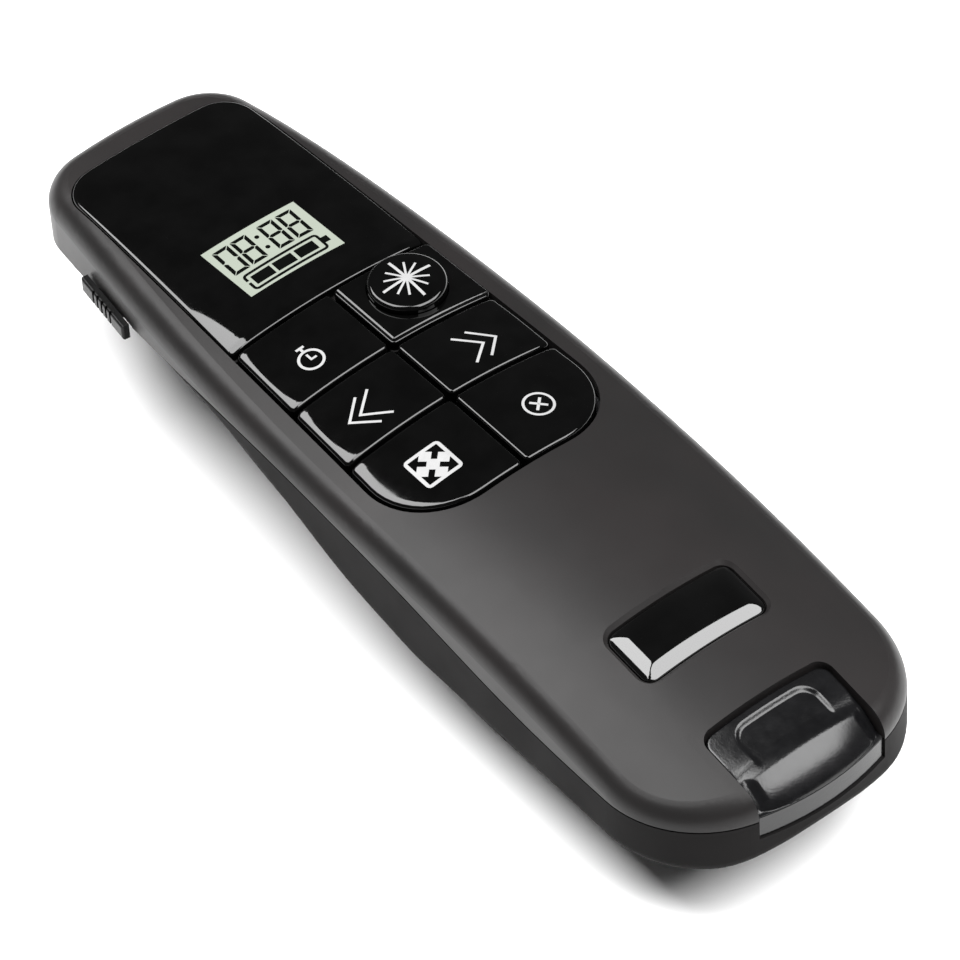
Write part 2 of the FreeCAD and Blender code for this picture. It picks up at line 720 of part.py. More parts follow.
def draw_rectangle(sketch, width, height):
    """A rectangle centred on the sketch origin, sized by its sides."""
    x = number(width) / 2
    y = number(height) / 2
    points = [Vector(-x, -y, 0), Vector(x, -y, 0), Vector(x, y, 0), Vector(-x, y, 0)]
    first = len(sketch.Geometry)
    for index in range(4):
        sketch.addGeometry(Part.LineSegment(points[index], points[(index + 1) % 4]), False)
    for index in range(4):
        after = first + (index + 1) % 4
        sketch.addConstraint(Sketcher.Constraint("Coincident", first + index, 2, after, 1))
    for index, kind in enumerate(["Horizontal", "Vertical", "Horizontal", "Vertical"]):
        sketch.addConstraint(Sketcher.Constraint(kind, first + index))
    sketch.addConstraint(Sketcher.Constraint("Symmetric", first, 1, first + 1, 2, -1, 1))
    across = sketch.addConstraint(Sketcher.Constraint("DistanceX", first, 1, first, 2, 2 * x))
    along = sketch.addConstraint(Sketcher.Constraint("DistanceY", first + 1, 1, first + 1, 2, 2 * y))
    bind(sketch, f"Constraints[{across}]", width)
    bind(sketch, f"Constraints[{along}]", height)


def draw_circle(sketch, radius):
    index = sketch.addGeometry(Part.Circle(Vector(0, 0, 0), Vector(0, 0, 1), number(radius)), False)
    sketch.addConstraint(Sketcher.Constraint("Coincident", index, 3, -1, 1))
    datum = sketch.addConstraint(Sketcher.Constraint("Radius", index, number(radius)))
    bind(sketch, f"Constraints[{datum}]", radius)


def draw_profile(sketch, vertices):
    """A closed profile of straight lines through vertices at or above zero."""
    count = len(vertices)
    first = len(sketch.Geometry)
    points = [Vector(number(x), number(y), 0) for x, y in vertices]
    for index in range(count):
        sketch.addGeometry(Part.LineSegment(points[index], points[(index + 1) % count]), False)
    for index in range(count):
        after = first + (index + 1) % count
        sketch.addConstraint(Sketcher.Constraint("Coincident", first + index, 2, after, 1))
    for index, (x, y) in enumerate(vertices):
        line = first + index
        for kind, axis, value in (("DistanceX", -2, x), ("DistanceY", -1, y)):
            if number(value) == 0:
                sketch.addConstraint(Sketcher.Constraint("PointOnObject", line, 1, axis))
                continue
            datum = sketch.addConstraint(Sketcher.Constraint(kind, -1, 1, line, 1, number(value)))
            bind(sketch, f"Constraints[{datum}]", value)


def pad(body, sketch, length, name):
    feature = body.newObject("PartDesign::Pad", name)
    feature.Profile = sketch
    feature.Length = number(length)
    bind(feature, "Length", length)
    return feature


def pocket(body, sketch, length, name, reversed_cut=False):
    feature = body.newObject("PartDesign::Pocket", name)
    feature.Profile = sketch
    feature.Length = number(length)
    feature.Reversed = reversed_cut
    bind(feature, "Length", length)
    return feature


def revolve(body, sketch, name):
    feature = body.newObject("PartDesign::Revolution", name)
    feature.Profile = sketch
    feature.ReferenceAxis = (sketch, ["H_Axis"])
    feature.Angle = 360.0
    return feature


def padded_box(name, centre, spans):
    """A body padded up from a centred rectangle: centre x, y and low z."""
    body = new_body(name)
    sketch = new_sketch(body, f"{name}_outline", "XY", centre)
    draw_rectangle(sketch, spans[0], spans[1])
    pad(body, sketch, spans[2], f"{name}_pad")
    return body


def turned(name, start, vertices):
    """A body turned about an axis along +Y that starts at start."""
    body = new_body(name)
    x, y, z = start
    sketch = new_sketch(body, f"{name}_profile", "YZ", (y, z, x))
    draw_profile(sketch, vertices)
    revolve(body, sketch, f"{name}_turned")
    return body


# Housing halves


def receiver_space(gap):
    """Block at the tail that the receiver fills, wider by gap."""
    side = number(size.receiver_width) / 2 + number(gap)
    rear = number(tail_y - size.overrun)
    front = number(receiver_front_y) + number(gap)
    low = number(receiver_floor) - number(gap)
    corner = number(size.receiver_corner) + number(gap)
    corners = [(-side, rear), (side, rear), (side, front), (-side, front)]
    face = Part.Face(rounded_polygon(corners, [0, 0, corner, corner], low))
    return face.extrude(Vector(0, 0, number(sky) - low))


def bay_block():
    """Solid round the receiver space, before that space is cut."""
    side = number(size.receiver_width / 2 + size.fit_gap + size.bay_wall)
    return box((-side, side), (tail_y - size.overrun, notch_front_y + size.bay_wall),
               (number(receiver_floor - size.fit_gap - size.bay_wall), size.body_height))


def plug_slot():
    half = number(size.plug_width / 2 + size.fit_gap)
    tall = number(size.plug_height / 2 + size.fit_gap)
    return box((-half, half), (receiver_front_y, notch_front_y + size.bay_wall + size.overrun),
               (number(plug_z) - tall, number(plug_z) + tall))


def slider_slot():
    """Slot for the neck of the knob, which rests at its front end."""
    half = size.slider_neck / 2 + size.fit_gap * 2
    tall = size.slider_neck_height / 2 + size.fit_gap
    return box((-half_width - size.overrun, -half_width / 2),
               (slider_y - half - size.slider_travel, slider_y + half),
               (slider_z - tall, slider_z + tall))


def slide_pocket():
    """Room for the slide switch where the lower wall comes near."""
    half = number(size.slide_body_length / 2 + size.fit_gap)
    middle = number(slider_y - size.slider_travel / 2)
    outer = number(size.board_width / 2 + size.fit_gap)
    return box((-outer, -outer + number(size.slide_body_depth) + number(size.fit_gap) * 2),
               (middle - half, middle + half),
               (number(board_z - size.slide_body_height - size.fit_gap), board_top))


def bezel_hole(gap):
    return lying(number(size.bezel_diameter) / 2 + number(gap), size.body_width, 0,
                 nose_y - size.wall - size.overrun, laser_z)


def screw_places():
    tail = number(tail_y + size.tail_screw_margin)
    nose = number(nose_y - size.nose_screw_margin)
    tail_x = number(size.tail_screw_x)
    nose_x = number(size.nose_screw_x)
    return [(-tail_x, tail), (tail_x, tail), (-nose_x, nose), (nose_x, nose)]


def top_boss(place):
    """Column that reaches the wall at the tail, or the shelf at the nose."""
    depth = size.wall / 2 if place[1] < 0 else size.window_thickness + size.shelf_thickness / 2
    column = upright(size.boss_diameter / 2, size.body_height, place[0], place[1], 0)
    return column.common(crown_solid(number(depth)))


def badge_patch(margin, low):
    """Rounded rectangle of the badge, cut in by margin."""
    half_x = number(size.badge_width) / 2 - margin
    half_y = number(size.badge_length) / 2 - margin
    y = number(badge_y)
    corners = [(-half_x, y - half_y), (half_x, y - half_y), (half_x, y + half_y), (-half_x, y + half_y)]
    radius = max(number(size.badge_corner) - margin, number(size.badge_gap))
    face = Part.Face(rounded_polygon(corners, [radius] * 4, low))
    return face.extrude(Vector(0, 0, number(size.body_height) - low))


def badge_recess():
    """Housing blank with the badge recess, its upper edge bevelled."""
    sunk = badge_patch(0, 0).cut(crown_solid(number(size.badge_depth)))
    blank = outer_upper.cut(sunk)
    half_x = number(size.badge_width) / 2 + number(size.fit_gap)
    half_y = number(size.badge_length) / 2 + number(size.fit_gap)
    y = number(badge_y)
    rim = []
    for edge in blank.Edges:
        middle = edge.valueAt((edge.FirstParameter + edge.LastParameter) / 2)
        near = abs(middle.x) < half_x and abs(middle.y - y) < half_y
        if near and abs(crown_height(middle) - middle.z) < number(size.badge_depth) / 2 and is_level(edge):
            rim.append(edge)
    return blank.makeChamfer(number(size.badge_bevel), rim)


def crown_height(point):
    """Height of the crowned top above a point in plan."""
    line = Part.makeLine(Vector(point.x, point.y, 0), Vector(point.x, point.y, number(sky)))
    crown_face = max(outer_crown.Faces, key=lambda face: face.CenterOfMass.z)
    return crown_face.section(line).Vertexes[0].Z


def is_level(edge):
    start = edge.valueAt(edge.FirstParameter)
    end = edge.valueAt(edge.LastParameter)
    return abs(start.z - end.z) < number(size.badge_depth) * 0.8


def window_shelf():
    """Shelf under the display window and the laser panel."""
    margin = -size.wall / 2
    front = face_patch((window_rear_y, face_front_y + size.wall / 2), "both", margin, board_z, sky)
    panel = face_patch((second_row_y, window_rear_y + size.wall), "right", margin, board_z, sky)
    depth = number(size.window_thickness - size.key_proud + size.fit_gap / 4)
    level = crown_solid(depth).cut(crown_solid(depth + number(size.shelf_thickness)))
    shelf = front.fuse(panel).common(level)
    half_x = number(size.display_width / 2 + size.display_frame_wall + size.fit_gap)
    half_y = number(size.display_length / 2 + size.display_frame_wall + size.fit_gap)
    y = number(window_rear_y + size.display_centre)
    holder = box((-half_x, half_x), (y - half_y, y + half_y), (0, sky))
    return shelf.cut([holder, laser_key_cylinder(size.fit_gap * 1.5)])


def top_case():
    """Upper half: crowned shell with its openings, lip rebate and bosses."""
    shell = badge_recess().cut(upper_blank(size.wall))
    above = parting_solid(size.seam / 2, True)
    rebate = outline_prism(number(size.wall - size.lip_thickness - size.fit_gap / 2), 0,
                           number(size.body_height))
    rebate = rebate.common(parting_solid(size.lip_height + size.fit_gap, False))
    shell = shell.cut(rebate)
    bay = bay_block().common(outer_upper)
    badge_floor = badge_patch(-number(size.wall), 0).common(crown_solid(number(size.badge_depth)))
    badge_floor = badge_floor.cut(crown_solid(number(size.badge_depth + size.wall)))
    bosses = [top_boss(place) for place in screw_places()]
    case = shell.cut(face_opening(0)).fuse([bay, badge_floor, window_shelf()] + bosses)
    case = case.common(above)
    case = case.cut([receiver_space(size.fit_gap), plug_slot(), slider_slot(), bezel_hole(0)])
    holes = []
    for place in screw_places():
        holes.append(upright(size.screw_diameter / 2 + size.fit_gap / 2,
                             screw_seat_z + size.screw_length + size.fit_gap, place[0], place[1], 0))
    return add_part("top_case", largest_solid(case.cut(holes)))


def bottom_case():
    """Lower half: tray and belly shell, battery bay, rails and bosses."""
    shell = outer_lower.cut(lower_blank(size.wall))
    side = number(half_width + size.overrun)
    lip = outline_prism(number(size.wall - size.lip_thickness), 0, number(size.body_height))
    lip = lip.cut(outline_prism(number(size.wall), 0, number(size.body_height)))
    lip = lip.common(parting_solid(size.lip_height, False))
    lip = lip.common(parting_solid(-size.lip_height, True)).cut(bay_block())
    door_zone = box((-side, side), (tail_y, number(size.door_front_y + size.door_gap)),
                    (-number(size.overrun), size.floor_z))
    floor_slab = outer_lower.common(box((-side, side), (tail_y + size.wall, size.door_front_y + size.wall),
                                        (size.floor_z, size.floor_z + size.floor_thickness)))
    wall_behind_door = outer_lower.common(
        box((-side, side), (size.door_front_y + size.door_gap, size.door_front_y + size.door_gap + size.wall),
            (0, size.floor_z + size.floor_thickness)))
    bay = bay_block().common(outer_lower)
    cell_half = number(size.cell_spacing / 2 + size.cell_diameter / 2 + size.cell_bay_gap)
    cell_top = number(size.cell_z + size.cell_diameter / 2 + size.cell_bay_gap)
    thick = number(size.cell_bay_wall)
    cell_block = box((-cell_half - thick, cell_half + thick),
                     (size.cell_bay_rear_y - size.cell_bay_wall, cell_bay_front_y + size.cell_bay_wall),
                     (size.floor_z, cell_top + thick))
    cell_space = box((-cell_half, cell_half), (size.cell_bay_rear_y, cell_bay_front_y), (0, cell_top))
    bosses = []
    for place in screw_places():
        column = upright(size.boss_diameter / 2, size.body_height, place[0], place[1], 0)
        bosses.append(column.common(outer_lower))
    below = parting_solid(-size.seam / 2, False)
    body = shell.cut(door_zone).fuse([floor_slab, wall_behind_door, bay, cell_block] + bosses)
    body = body.common(below).fuse([lip])
    body = body.cut([cell_space, receiver_space(size.fit_gap), plug_slot(), slider_slot(), bezel_hole(0)])
    body = body.fuse(door_rails() + [laser_cradle()] + board_posts()).cut(slide_pocket())
    seat = number(screw_seat_z)
    for place in screw_places():
        hole = upright(size.screw_diameter / 2 + size.fit_gap / 2, size.body_height, place[0], place[1], 0)
        head = upright(size.screw_head_diameter / 2 + size.fit_gap, seat, place[0], place[1], 0)
        body = body.cut([hole, head])
    return add_part("bottom_case", largest_solid(body))


def board_posts():
    """Two posts that carry the board, each with a locating pin."""
    middle = number(nose_y - size.board_nose_margin - size.board_length / 2)
    reach = number(size.board_length / 2 - size.boss_diameter)
    roof = number(size.cell_z + size.cell_diameter / 2 + size.cell_bay_gap + size.cell_bay_wall / 2)
    posts = []
    for y, low in ((middle + reach, 0), (middle - reach, roof)):
        post = upright(size.screw_diameter, number(board_z - size.fit_gap / 4) - low, 0, y, low)
        pin = upright(size.screw_diameter / 2 - size.fit_gap, number(board_top) - low, 0, y, low)
        posts += [post.common(outer_lower), pin.common(outer_lower)]
    return posts


def door_rails():
    """A pair of L rails under the floor, which hold the battery door."""
    low_z = number(size.floor_z - size.rail_height)
    rear = number(size.rail_front_y - size.rail_length)
    inner = number(size.rail_inner_x)
    stem = number(size.rail_stem)
    stem_box = box((inner, inner + stem), (rear, size.rail_front_y), (low_z, size.floor_z))
    foot_box = box((inner, inner + stem + number(size.rail_flange)), (rear, size.rail_front_y),
                   (low_z, low_z + number(size.rail_foot)))
    rail = stem_box.fuse(foot_box).removeSplitter()
    return [rail, mirrored(rail)]


def laser_cradle():
    """Saddle that carries the laser barrel."""
    half = number(size.laser_diameter / 2 + size.cradle_wall)
    y = number(laser_rear_y + size.laser_length / 2)
    low = number(size.cradle_width) / 2
    block = box((-half, half), (y - low, y + low), (0, laser_z))
    block = block.common(outer_lower)
    barrel = lying(size.laser_diameter / 2 + size.fit_gap / 4, size.body_width, 0, y - number(size.body_width) / 2,
                   laser_z)
    return block.cut(barrel)


laser_rear_y = nose_y - size.wall - size.bezel_flange_length - size.laser_length - size.fit_gap


def battery_door():
    """Belly shell below the floor, with ridges that ride on the rails."""
    side = number(half_width + size.overrun)
    zone = box((-side, side), (tail_y, size.door_front_y), (0, size.door_top_z))
    shell = outer_lower.cut(lower_blank(size.wall)).common(zone)
    shell = largest_solid(shell)
    gap = number(size.fit_gap)
    foot_top = number(size.floor_z - size.rail_height + size.rail_foot)
    stem_x = number(size.rail_inner_x + size.rail_stem)
    ridge = box((stem_x + gap, half_width), (size.rail_front_y - size.rail_length, size.rail_front_y),
                (foot_top + gap, size.door_top_z))
    ridge = ridge.common(belly_blank(0))
    door = joined([shell, ridge, mirrored(ridge)])
    grooves = []
    first = number(size.door_front_y) - door_grip_share * number(size.cell_bay_length)
    for index in range(4):
        y = first + index * number(size.grip_count_pitch)
        half = number(size.grip_length) / 2
        grooves.append(box((-half, half), (y, y + number(size.grip_width)), (-number(size.overrun), size.grip_depth)))
    return add_part("battery_door", largest_solid(door.cut(grooves)))


door_grip_share = 0.86


# Receiver


def receiver_outer():
    """The receiver fills the tail notch, a touch inside the surface."""
    inset = number(size.receiver_inset)
    return upper_blank(inset).common(tray_blank(inset)).common(receiver_space(0))


def receiver_cavity():
    wall = number(size.receiver_wall)
    side = number(size.receiver_width) / 2 - wall
    inner = upper_blank(size.receiver_inset + size.receiver_wall + size.hollow_depth)
    block = box((-side, side), (tail_y, number(receiver_front_y) - wall),
                (number(receiver_floor) + wall, size.body_height))
    return inner.common(block)


def finger_hollow():
    """Stadium scoop across the receiver, parallel to its crown."""
    radius = number(size.hollow_length) / 2
    half = number(size.hollow_width) / 2
    y = number(receiver_front_y - size.hollow_margin) - radius
    corners = [(-half, y - radius), (half, y - radius), (half, y + radius), (-half, y + radius)]
    face = Part.Face(rounded_polygon(corners, [radius * hollow_corner_share] * 4, 0))
    column = face.extrude(Vector(0, 0, number(size.body_height)))
    return column.cut(crown_solid(number(size.receiver_inset + size.hollow_depth)))


def thumb_rest():
    """Cut that sinks the front of the receiver below its crown."""
    side = number(size.receiver_width)
    zone = box((-side, side), (receiver_front_y - size.receiver_step_length, nose_y), (0, sky))
    return zone.cut(crown_solid(number(size.receiver_inset + size.receiver_step)))


hollow_corner_share = 0.9


def receiver_cover():
    outer = receiver_outer()
    side = number(size.receiver_width)
    upper = box((-side, side), (tail_y - size.overrun, nose_y),
                (number(receiver_seam_z + size.receiver_seam / 2), size.body_height))
    cover = outer.common(upper).cut(thumb_rest())
    front_edges = [edge for edge in cover.Edges if is_front_top(edge)]
    cover = cover.makeChamfer(number(size.key_edge_bevel), front_edges)
    cover = cover.cut([receiver_cavity(), finger_hollow(), plug_root_space()])
    return add_part("receiver_cover", largest_solid(cover.removeSplitter()))


def is_front_top(edge):
    """Whether an edge lies between the crown and the front wall."""
    middle = edge.valueAt((edge.FirstParameter + edge.LastParameter) / 2)
    at_front = abs(middle.y - number(receiver_front_y)) < number(size.receiver_corner) / 2
    return at_front and middle.z > number(plug_z + size.plug_height / 2)


def plug_root_space():
    half = number(size.plug_width) / 2
    tall = number(size.plug_height) / 2
    return box((-half, half), (receiver_front_y - size.plug_root, receiver_front_y + size.overrun),
               (number(plug_z) - tall, number(plug_z) + tall))


def receiver_base():
    outer = receiver_outer()
    side = number(size.receiver_width)
    lower = box((-side, side), (tail_y - size.overrun, nose_y),
                (0, number(receiver_seam_z - size.receiver_seam / 2)))
    base = outer.common(lower).cut([receiver_cavity(), plug_root_space()])
    return add_part("receiver_base", largest_solid(base.removeSplitter()))


def plug_parts():
    """Plug shell with its windows, and the contact tongue in it."""
    shell = new_body("usb_plug_shell")
    outline = new_sketch(shell, "plug_outline", "XZ", (0, plug_z, -(receiver_front_y - size.plug_root)))
    draw_rectangle(outline, size.plug_width, size.plug_height)
    draw_rectangle(outline, size.plug_width - size.plug_metal * 2, size.plug_height - size.plug_metal * 2)
    feature = pad(shell, outline, size.plug_length + size.plug_root, "plug_pad")
    feature.Reversed = True
    doc.recompute()
    for side in (-1, 1):
        window = new_sketch(shell, f"plug_window_{'left' if side < 0 else 'right'}", "XY",
                            (size.plug_width * plug_window_share * side,
                             receiver_front_y + size.plug_length * 0.62, plug_z))
        draw_rectangle(window, size.contact_pitch, size.contact_width * 2)
        pocket(shell, window, size.plug_height, f"plug_cut_{'left' if side < 0 else 'right'}", True)
    tongue_length = size.plug_length + size.plug_root + size.board_overhang - size.tongue_recess
    low = plug_z - size.plug_height / 2 + size.plug_metal + size.fit_gap / 4
    start = receiver_front_y - size.plug_root - size.board_overhang
    padded_box("receiver_board", (0, start + tongue_length / 2, low),
               (size.plug_width - size.plug_metal * 2 - size.fit_gap / 2, tongue_length, size.tongue_thickness))
    contacts = []
    top = number(low + size.tongue_thickness)
    mouth = number(start + tongue_length - size.tongue_recess)
    half = number(size.contact_width) / 2
    for index in range(4):
        x = (index - 1.5) * number(size.contact_pitch)
        contacts.append(box((x - half, x + half), (mouth - number(size.contact_length), mouth),
                            (top, top + number(size.contact_thickness))))
    add_part("usb_contacts", Part.makeCompound(contacts))


plug_window_share = 0.21


# Keys and what lies under them


def keys():
    key_cap("timer_key", second_row_y, window_rear_y, "left")
    key_cap("previous_key", third_row_y, second_row_y, "left")
    key_cap("next_key", third_row_y, second_row_y, "right")
    key_cap("full_screen_key", face_rear_y, third_row_y, "left")
    key_cap("escape_key", face_rear_y, third_row_y, "right")


def laser_key():
    """Round crowned button with a flange."""
    y = (second_row_y + window_rear_y) / 2
    top = size.body_height + size.laser_key_rise
    dome = number(size.laser_key_dome)
    disc = upright(size.laser_key_diameter / 2, top - flange_z, size.laser_key_x, y, flange_z)
    ball = Part.makeSphere(dome, Vector(number(size.laser_key_x), number(y), number(top) - dome))
    button = disc.common(ball)
    button = bevelled_top(button, size.key_edge_bevel)
    flange = upright(size.laser_key_diameter / 2 + size.key_flange, size.key_flange_thickness,
                     size.laser_key_x, y, flange_z)
    add_part("laser_key", joined([button, flange]))


def key_places():
    """Centre of each key, as x and y."""
    x = number(size.laser_key_x)
    first = number((second_row_y + window_rear_y) / 2)
    second = number((third_row_y + second_row_y) / 2)
    third = number((face_rear_y + third_row_y) / 2)
    return [(-x, first), (x, first), (-x, second), (x, second), (-x, third), (x, third)]


def keypad_mat():
    """Rubber sheet between the keys and the push switches."""
    rows = (face_rear_y + size.face_gap - size.key_flange, window_rear_y - size.fit_gap)
    sheet = face_patch(rows, "both", size.face_gap - size.key_flange, mat_z, mat_z + size.mat_thickness)
    add_part("keypad_mat", sheet)


def main_board():
    """Circuit board with two locating holes."""
    body = new_body("main_board")
    middle = nose_y - size.board_nose_margin - size.board_length / 2
    outline = new_sketch(body, "board_outline", "XY", (0, middle, board_z))
    draw_rectangle(outline, size.board_width, size.board_length)
    pad(body, outline, size.board_thickness, "board_pad")
    doc.recompute()
    for name, share in (("front", 1), ("rear", -1)):
        hole = new_sketch(body, f"board_hole_{name}", "XY",
                          (0, middle + (size.board_length / 2 - size.boss_diameter) * share, board_z))
        draw_circle(hole, size.screw_diameter / 2)
        pocket(body, hole, size.board_thickness, f"board_cut_{name}", True)


def key_switches():
    """Six low push switches, one under each key."""
    half = number(size.switch_body) / 2
    switches = []
    for x, y in key_places():
        can = box((x - half, x + half), (y - half, y + half), (board_top, board_top + size.switch_height))
        stem = upright(size.switch_stem_diameter / 2, size.switch_stem_height, x, y,
                       board_top + size.switch_height)
        switches.append(joined([can, stem]))
    add_part("key_switches", Part.makeCompound(switches))


def display_parts():
    """Display glass and the holder that stands it on the board."""
    y = window_rear_y + size.display_centre
    under_window = size.body_height * display_crown_share - size.window_thickness + size.key_proud
    glass_top = under_window - size.display_clearance
    glass_low = glass_top - size.display_thickness
    padded_box("display_glass", (0, y, glass_low), (size.display_width, size.display_length, size.display_thickness))
    holder = new_body("display_holder")
    outline = new_sketch(holder, "holder_outline", "XY", (0, y, board_top))
    draw_rectangle(outline, size.display_width + size.display_frame_wall * 2,
                   size.display_length + size.display_frame_wall * 2)
    pad(holder, outline, glass_low - board_top + size.display_thickness / 2, "holder_pad")
    doc.recompute()
    seat = new_sketch(holder, "holder_seat", "XY", (0, y, glass_low))
    draw_rectangle(seat, size.display_width + size.fit_gap, size.display_length + size.fit_gap)
    pocket(holder, seat, size.display_thickness, "holder_seat_cut", True)
    hollow = new_sketch(holder, "holder_hollow", "XY", (0, y, board_top))
    draw_rectangle(hollow, size.display_width - size.display_frame_wall * 2,
                   size.display_length - size.display_frame_wall * 2)
    pocket(holder, hollow, glass_low - board_top, "holder_hollow_cut", True)


display_crown_share = 0.955


def badge():
    """Blank domed insert that fills the badge recess."""
    gap = number(size.badge_gap)
    plate = badge_patch(gap, 0).common(crown_solid(0))
    plate = plate.cut(crown_solid(number(size.badge_depth)))
    return add_part("badge", bevelled_top(plate, size.badge_depth * badge_edge_share))


badge_edge_share = 0.35


def board_chips():
    """Radio chip and crystal under the board."""
    y = number(window_rear_y)
    half = number(size.chip_size) / 2
    chip = box((-half, half), (y - half, y + half), (board_z - size.chip_height, board_z))
    add_part("radio_chip", chip)
    low = y + number(size.chip_size)
    wide = number(size.crystal_width) / 2
    crystal = box((-wide, wide), (low, low + number(size.crystal_length)),
                  (board_z - size.crystal_height, board_z))
    add_part("crystal", crystal)


# Side switch


def side_angle():
    """Angle between the left side and +Y at the side switch."""
    tail_centre = number(tail_y) + number(size.tail_end_radius)
    corner_x = number(half_width) - number(size.tail_corner_radius)
    drop = math.sqrt((number(size.tail_end_radius) - number(size.tail_corner_radius)) ** 2 - corner_x ** 2)
    taper_start = tail_centre - drop + taper_share * number(size.body_length)
    return math.asin((number(slider_y) - taper_start) / number(size.side_radius))


def side_switch():
    """Ribbed knob on the left side and the switch that it works.

    The knob is drawn along +Y with the housing side at zero, then turned
    and moved to the side of the housing.
    """
    angle = side_angle()
    side_x = number(half_width) - number(size.side_radius) * (1 - math.cos(angle))
    half = number(size.slider_length) / 2
    tall = number(size.slider_height) / 2
    rise = number(size.slider_rise)
    gap = number(size.fit_gap)
    cap = box((-rise, -gap), (-half, half), (-tall, tall))
    outer_edges = [edge for edge in cap.Edges if edge.BoundBox.XMax < -rise + gap / 2]
    cap = cap.makeFillet((rise - gap) * knob_edge_share, outer_edges)
    neck_half = number(size.slider_neck) / 2
    neck_tall = number(size.slider_neck_height) / 2
    reach = side_x - number(size.board_width) / 2 - gap * 2
    neck = box((-gap * 2, reach), (-neck_half, neck_half), (-neck_tall, neck_tall))
    grooves = []
    for index in range(5):
        groove_y = (index - 2) * number(size.slider_grip_pitch)
        wide = number(size.slider_grip_width) / 2
        grooves.append(box((-rise - gap, -rise + number(size.slider_grip_depth)),
                           (groove_y - wide, groove_y + wide), (-tall, tall)))
    knob = joined([cap, neck]).cut(grooves)
    spot = Vector(-side_x, number(slider_y), number(slider_z))
    add_part("switch_knob", knob, Placement(spot, Rotation(Vector(0, 0, 1), -math.degrees(angle))))
    padded_box("slide_switch",
               (-size.board_width / 2 + size.slide_body_depth / 2, slider_y - size.slider_travel / 2,
                board_z - size.slide_body_height),
               (size.slide_body_depth, size.slide_body_length, size.slide_body_height))


knob_edge_share = 0.35


# Laser


def laser_parts():
    """Barrel, front ring and the clear disc in it."""
    radius = size.laser_diameter / 2
    tip = size.laser_tip_diameter / 2
    turned("laser_module", (0, laser_rear_y, laser_z),
           [(0, 0), (size.laser_length, 0), (size.laser_length, tip),
            (size.laser_length - size.laser_tip_length, tip),
            (size.laser_length - size.laser_tip_length, radius), (0, radius)])
    ring_start = nose_y - size.wall - size.bezel_flange_length
    outer = size.bezel_diameter / 2 - size.fit_gap / 4
    flange = size.bezel_diameter / 2 + size.bezel_flange
    bore = size.bezel_bore / 2
    inner_flat = size.bezel_flange_length - size.fit_gap / 4
    end = size.wall + size.bezel_flange_length - size.fit_gap * 1.5
    ring = new_body("laser_bezel")
    profile = new_sketch(ring, "bezel_profile", "YZ", (ring_start, laser_z, 0))
    draw_profile(profile, [(0, bore), (end - size.bezel_flange, bore), (end, bore + size.bezel_flange),
                           (end, outer), (inner_flat, outer), (inner_flat, flange), (0, flange)])
    revolve(ring, profile, "bezel_turned")
    turned("laser_window", (0, ring_start + size.fit_gap, laser_z),
           [(0, 0), (size.window_disc, 0), (size.window_disc, bore), (0, bore)])


# Cells and their contacts


def cell(name, side, towards_nose):
    """An AAA cell with its nub at one end."""
    body = new_body(name)
    radius = size.cell_diameter / 2
    nub = size.cell_nub_diameter / 2
    length = size.cell_length - size.cell_nub_height
    plate = size.contact_plate + size.fit_gap / 4
    if towards_nose:
        start = cell_bay_front_y - plate - size.cell_length
    else:
        start = size.cell_bay_rear_y + plate + size.cell_length
    x = size.cell_spacing / 2 * side
    sketch = new_sketch(body, f"{name}_profile", "YZ", (start, size.cell_z, x), not towards_nose)
    draw_profile(sketch, [(0, 0), (0, radius - size.cell_edge), (size.cell_edge, radius),
                          (length - size.cell_edge, radius), (length, radius - size.cell_edge),
                          (length, nub), (size.cell_length, nub), (size.cell_length, 0)])
    revolve(body, sketch, f"{name}_turned")
    return body


def conical_spring(name, side, at_rear):
    """Turns of wire that narrow from the plate to the cell."""
    turns = number(size.spring_turns)
    wire = number(size.spring_wire)
    base = number(size.spring_base_radius)
    tip = number(size.spring_tip_radius)
    plates = size.contact_plate * 2 + size.fit_gap
    length = number(size.cell_bay_length - size.cell_length - plates) - wire
    x = number(size.cell_spacing) / 2 * side
    z = number(size.cell_z)
    if at_rear:
        start = number(size.cell_bay_rear_y + size.contact_plate) + wire / 2
        sign = 1
    else:
        start = number(cell_bay_front_y - size.contact_plate) - wire / 2
        sign = -1
    steps = int(turns * spring_flats)
    points = []
    for index in range(steps + 1):
        share = index / steps
        angle = 2 * math.pi * turns * share
        radius = base + (tip - base) * share
        points.append(Vector(x + radius * math.cos(angle), start + sign * length * share,
                             z + radius * math.sin(angle)))
    along = (points[1] - points[0]).normalize()
    outward = Vector(1, 0, 0) - along * along.x
    outward.normalize()
    upward = along.cross(outward)
    corners = []
    for index in range(6):
        turn = math.pi * index / 3
        corners.append(points[0] + (outward * math.cos(turn) + upward * math.sin(turn)) * (wire / 2))
    section = Part.makePolygon(corners + corners[:1])
    spring = Part.makePolygon(points).makePipeShell([section], True, False, 1)
    return add_part(name, largest_solid(spring))


spring_flats = 12


def contact_plates():
    """Sprung ends and flat ends of the cell bay."""
    half = number(size.contact_plate_width) / 2
    z = number(size.cell_z)
    x = number(size.cell_spacing) / 2
    plate = number(size.contact_plate)
    rear = number(size.cell_bay_rear_y)
    front = number(cell_bay_front_y)
    rear_pair = [box((side * x - half, side * x + half), (rear, rear + plate), (z - half, z + half))
                 for side in (-1, 1)]
    bridge = box((-x - half, x + half), (front - plate, front), (z - half, z + half))
    add_part("rear_contacts", Part.makeCompound(rear_pair))
    add_part("front_contact", bridge)
    conical_spring("rear_spring", -1, True)
    conical_spring("front_spring", 1, False)


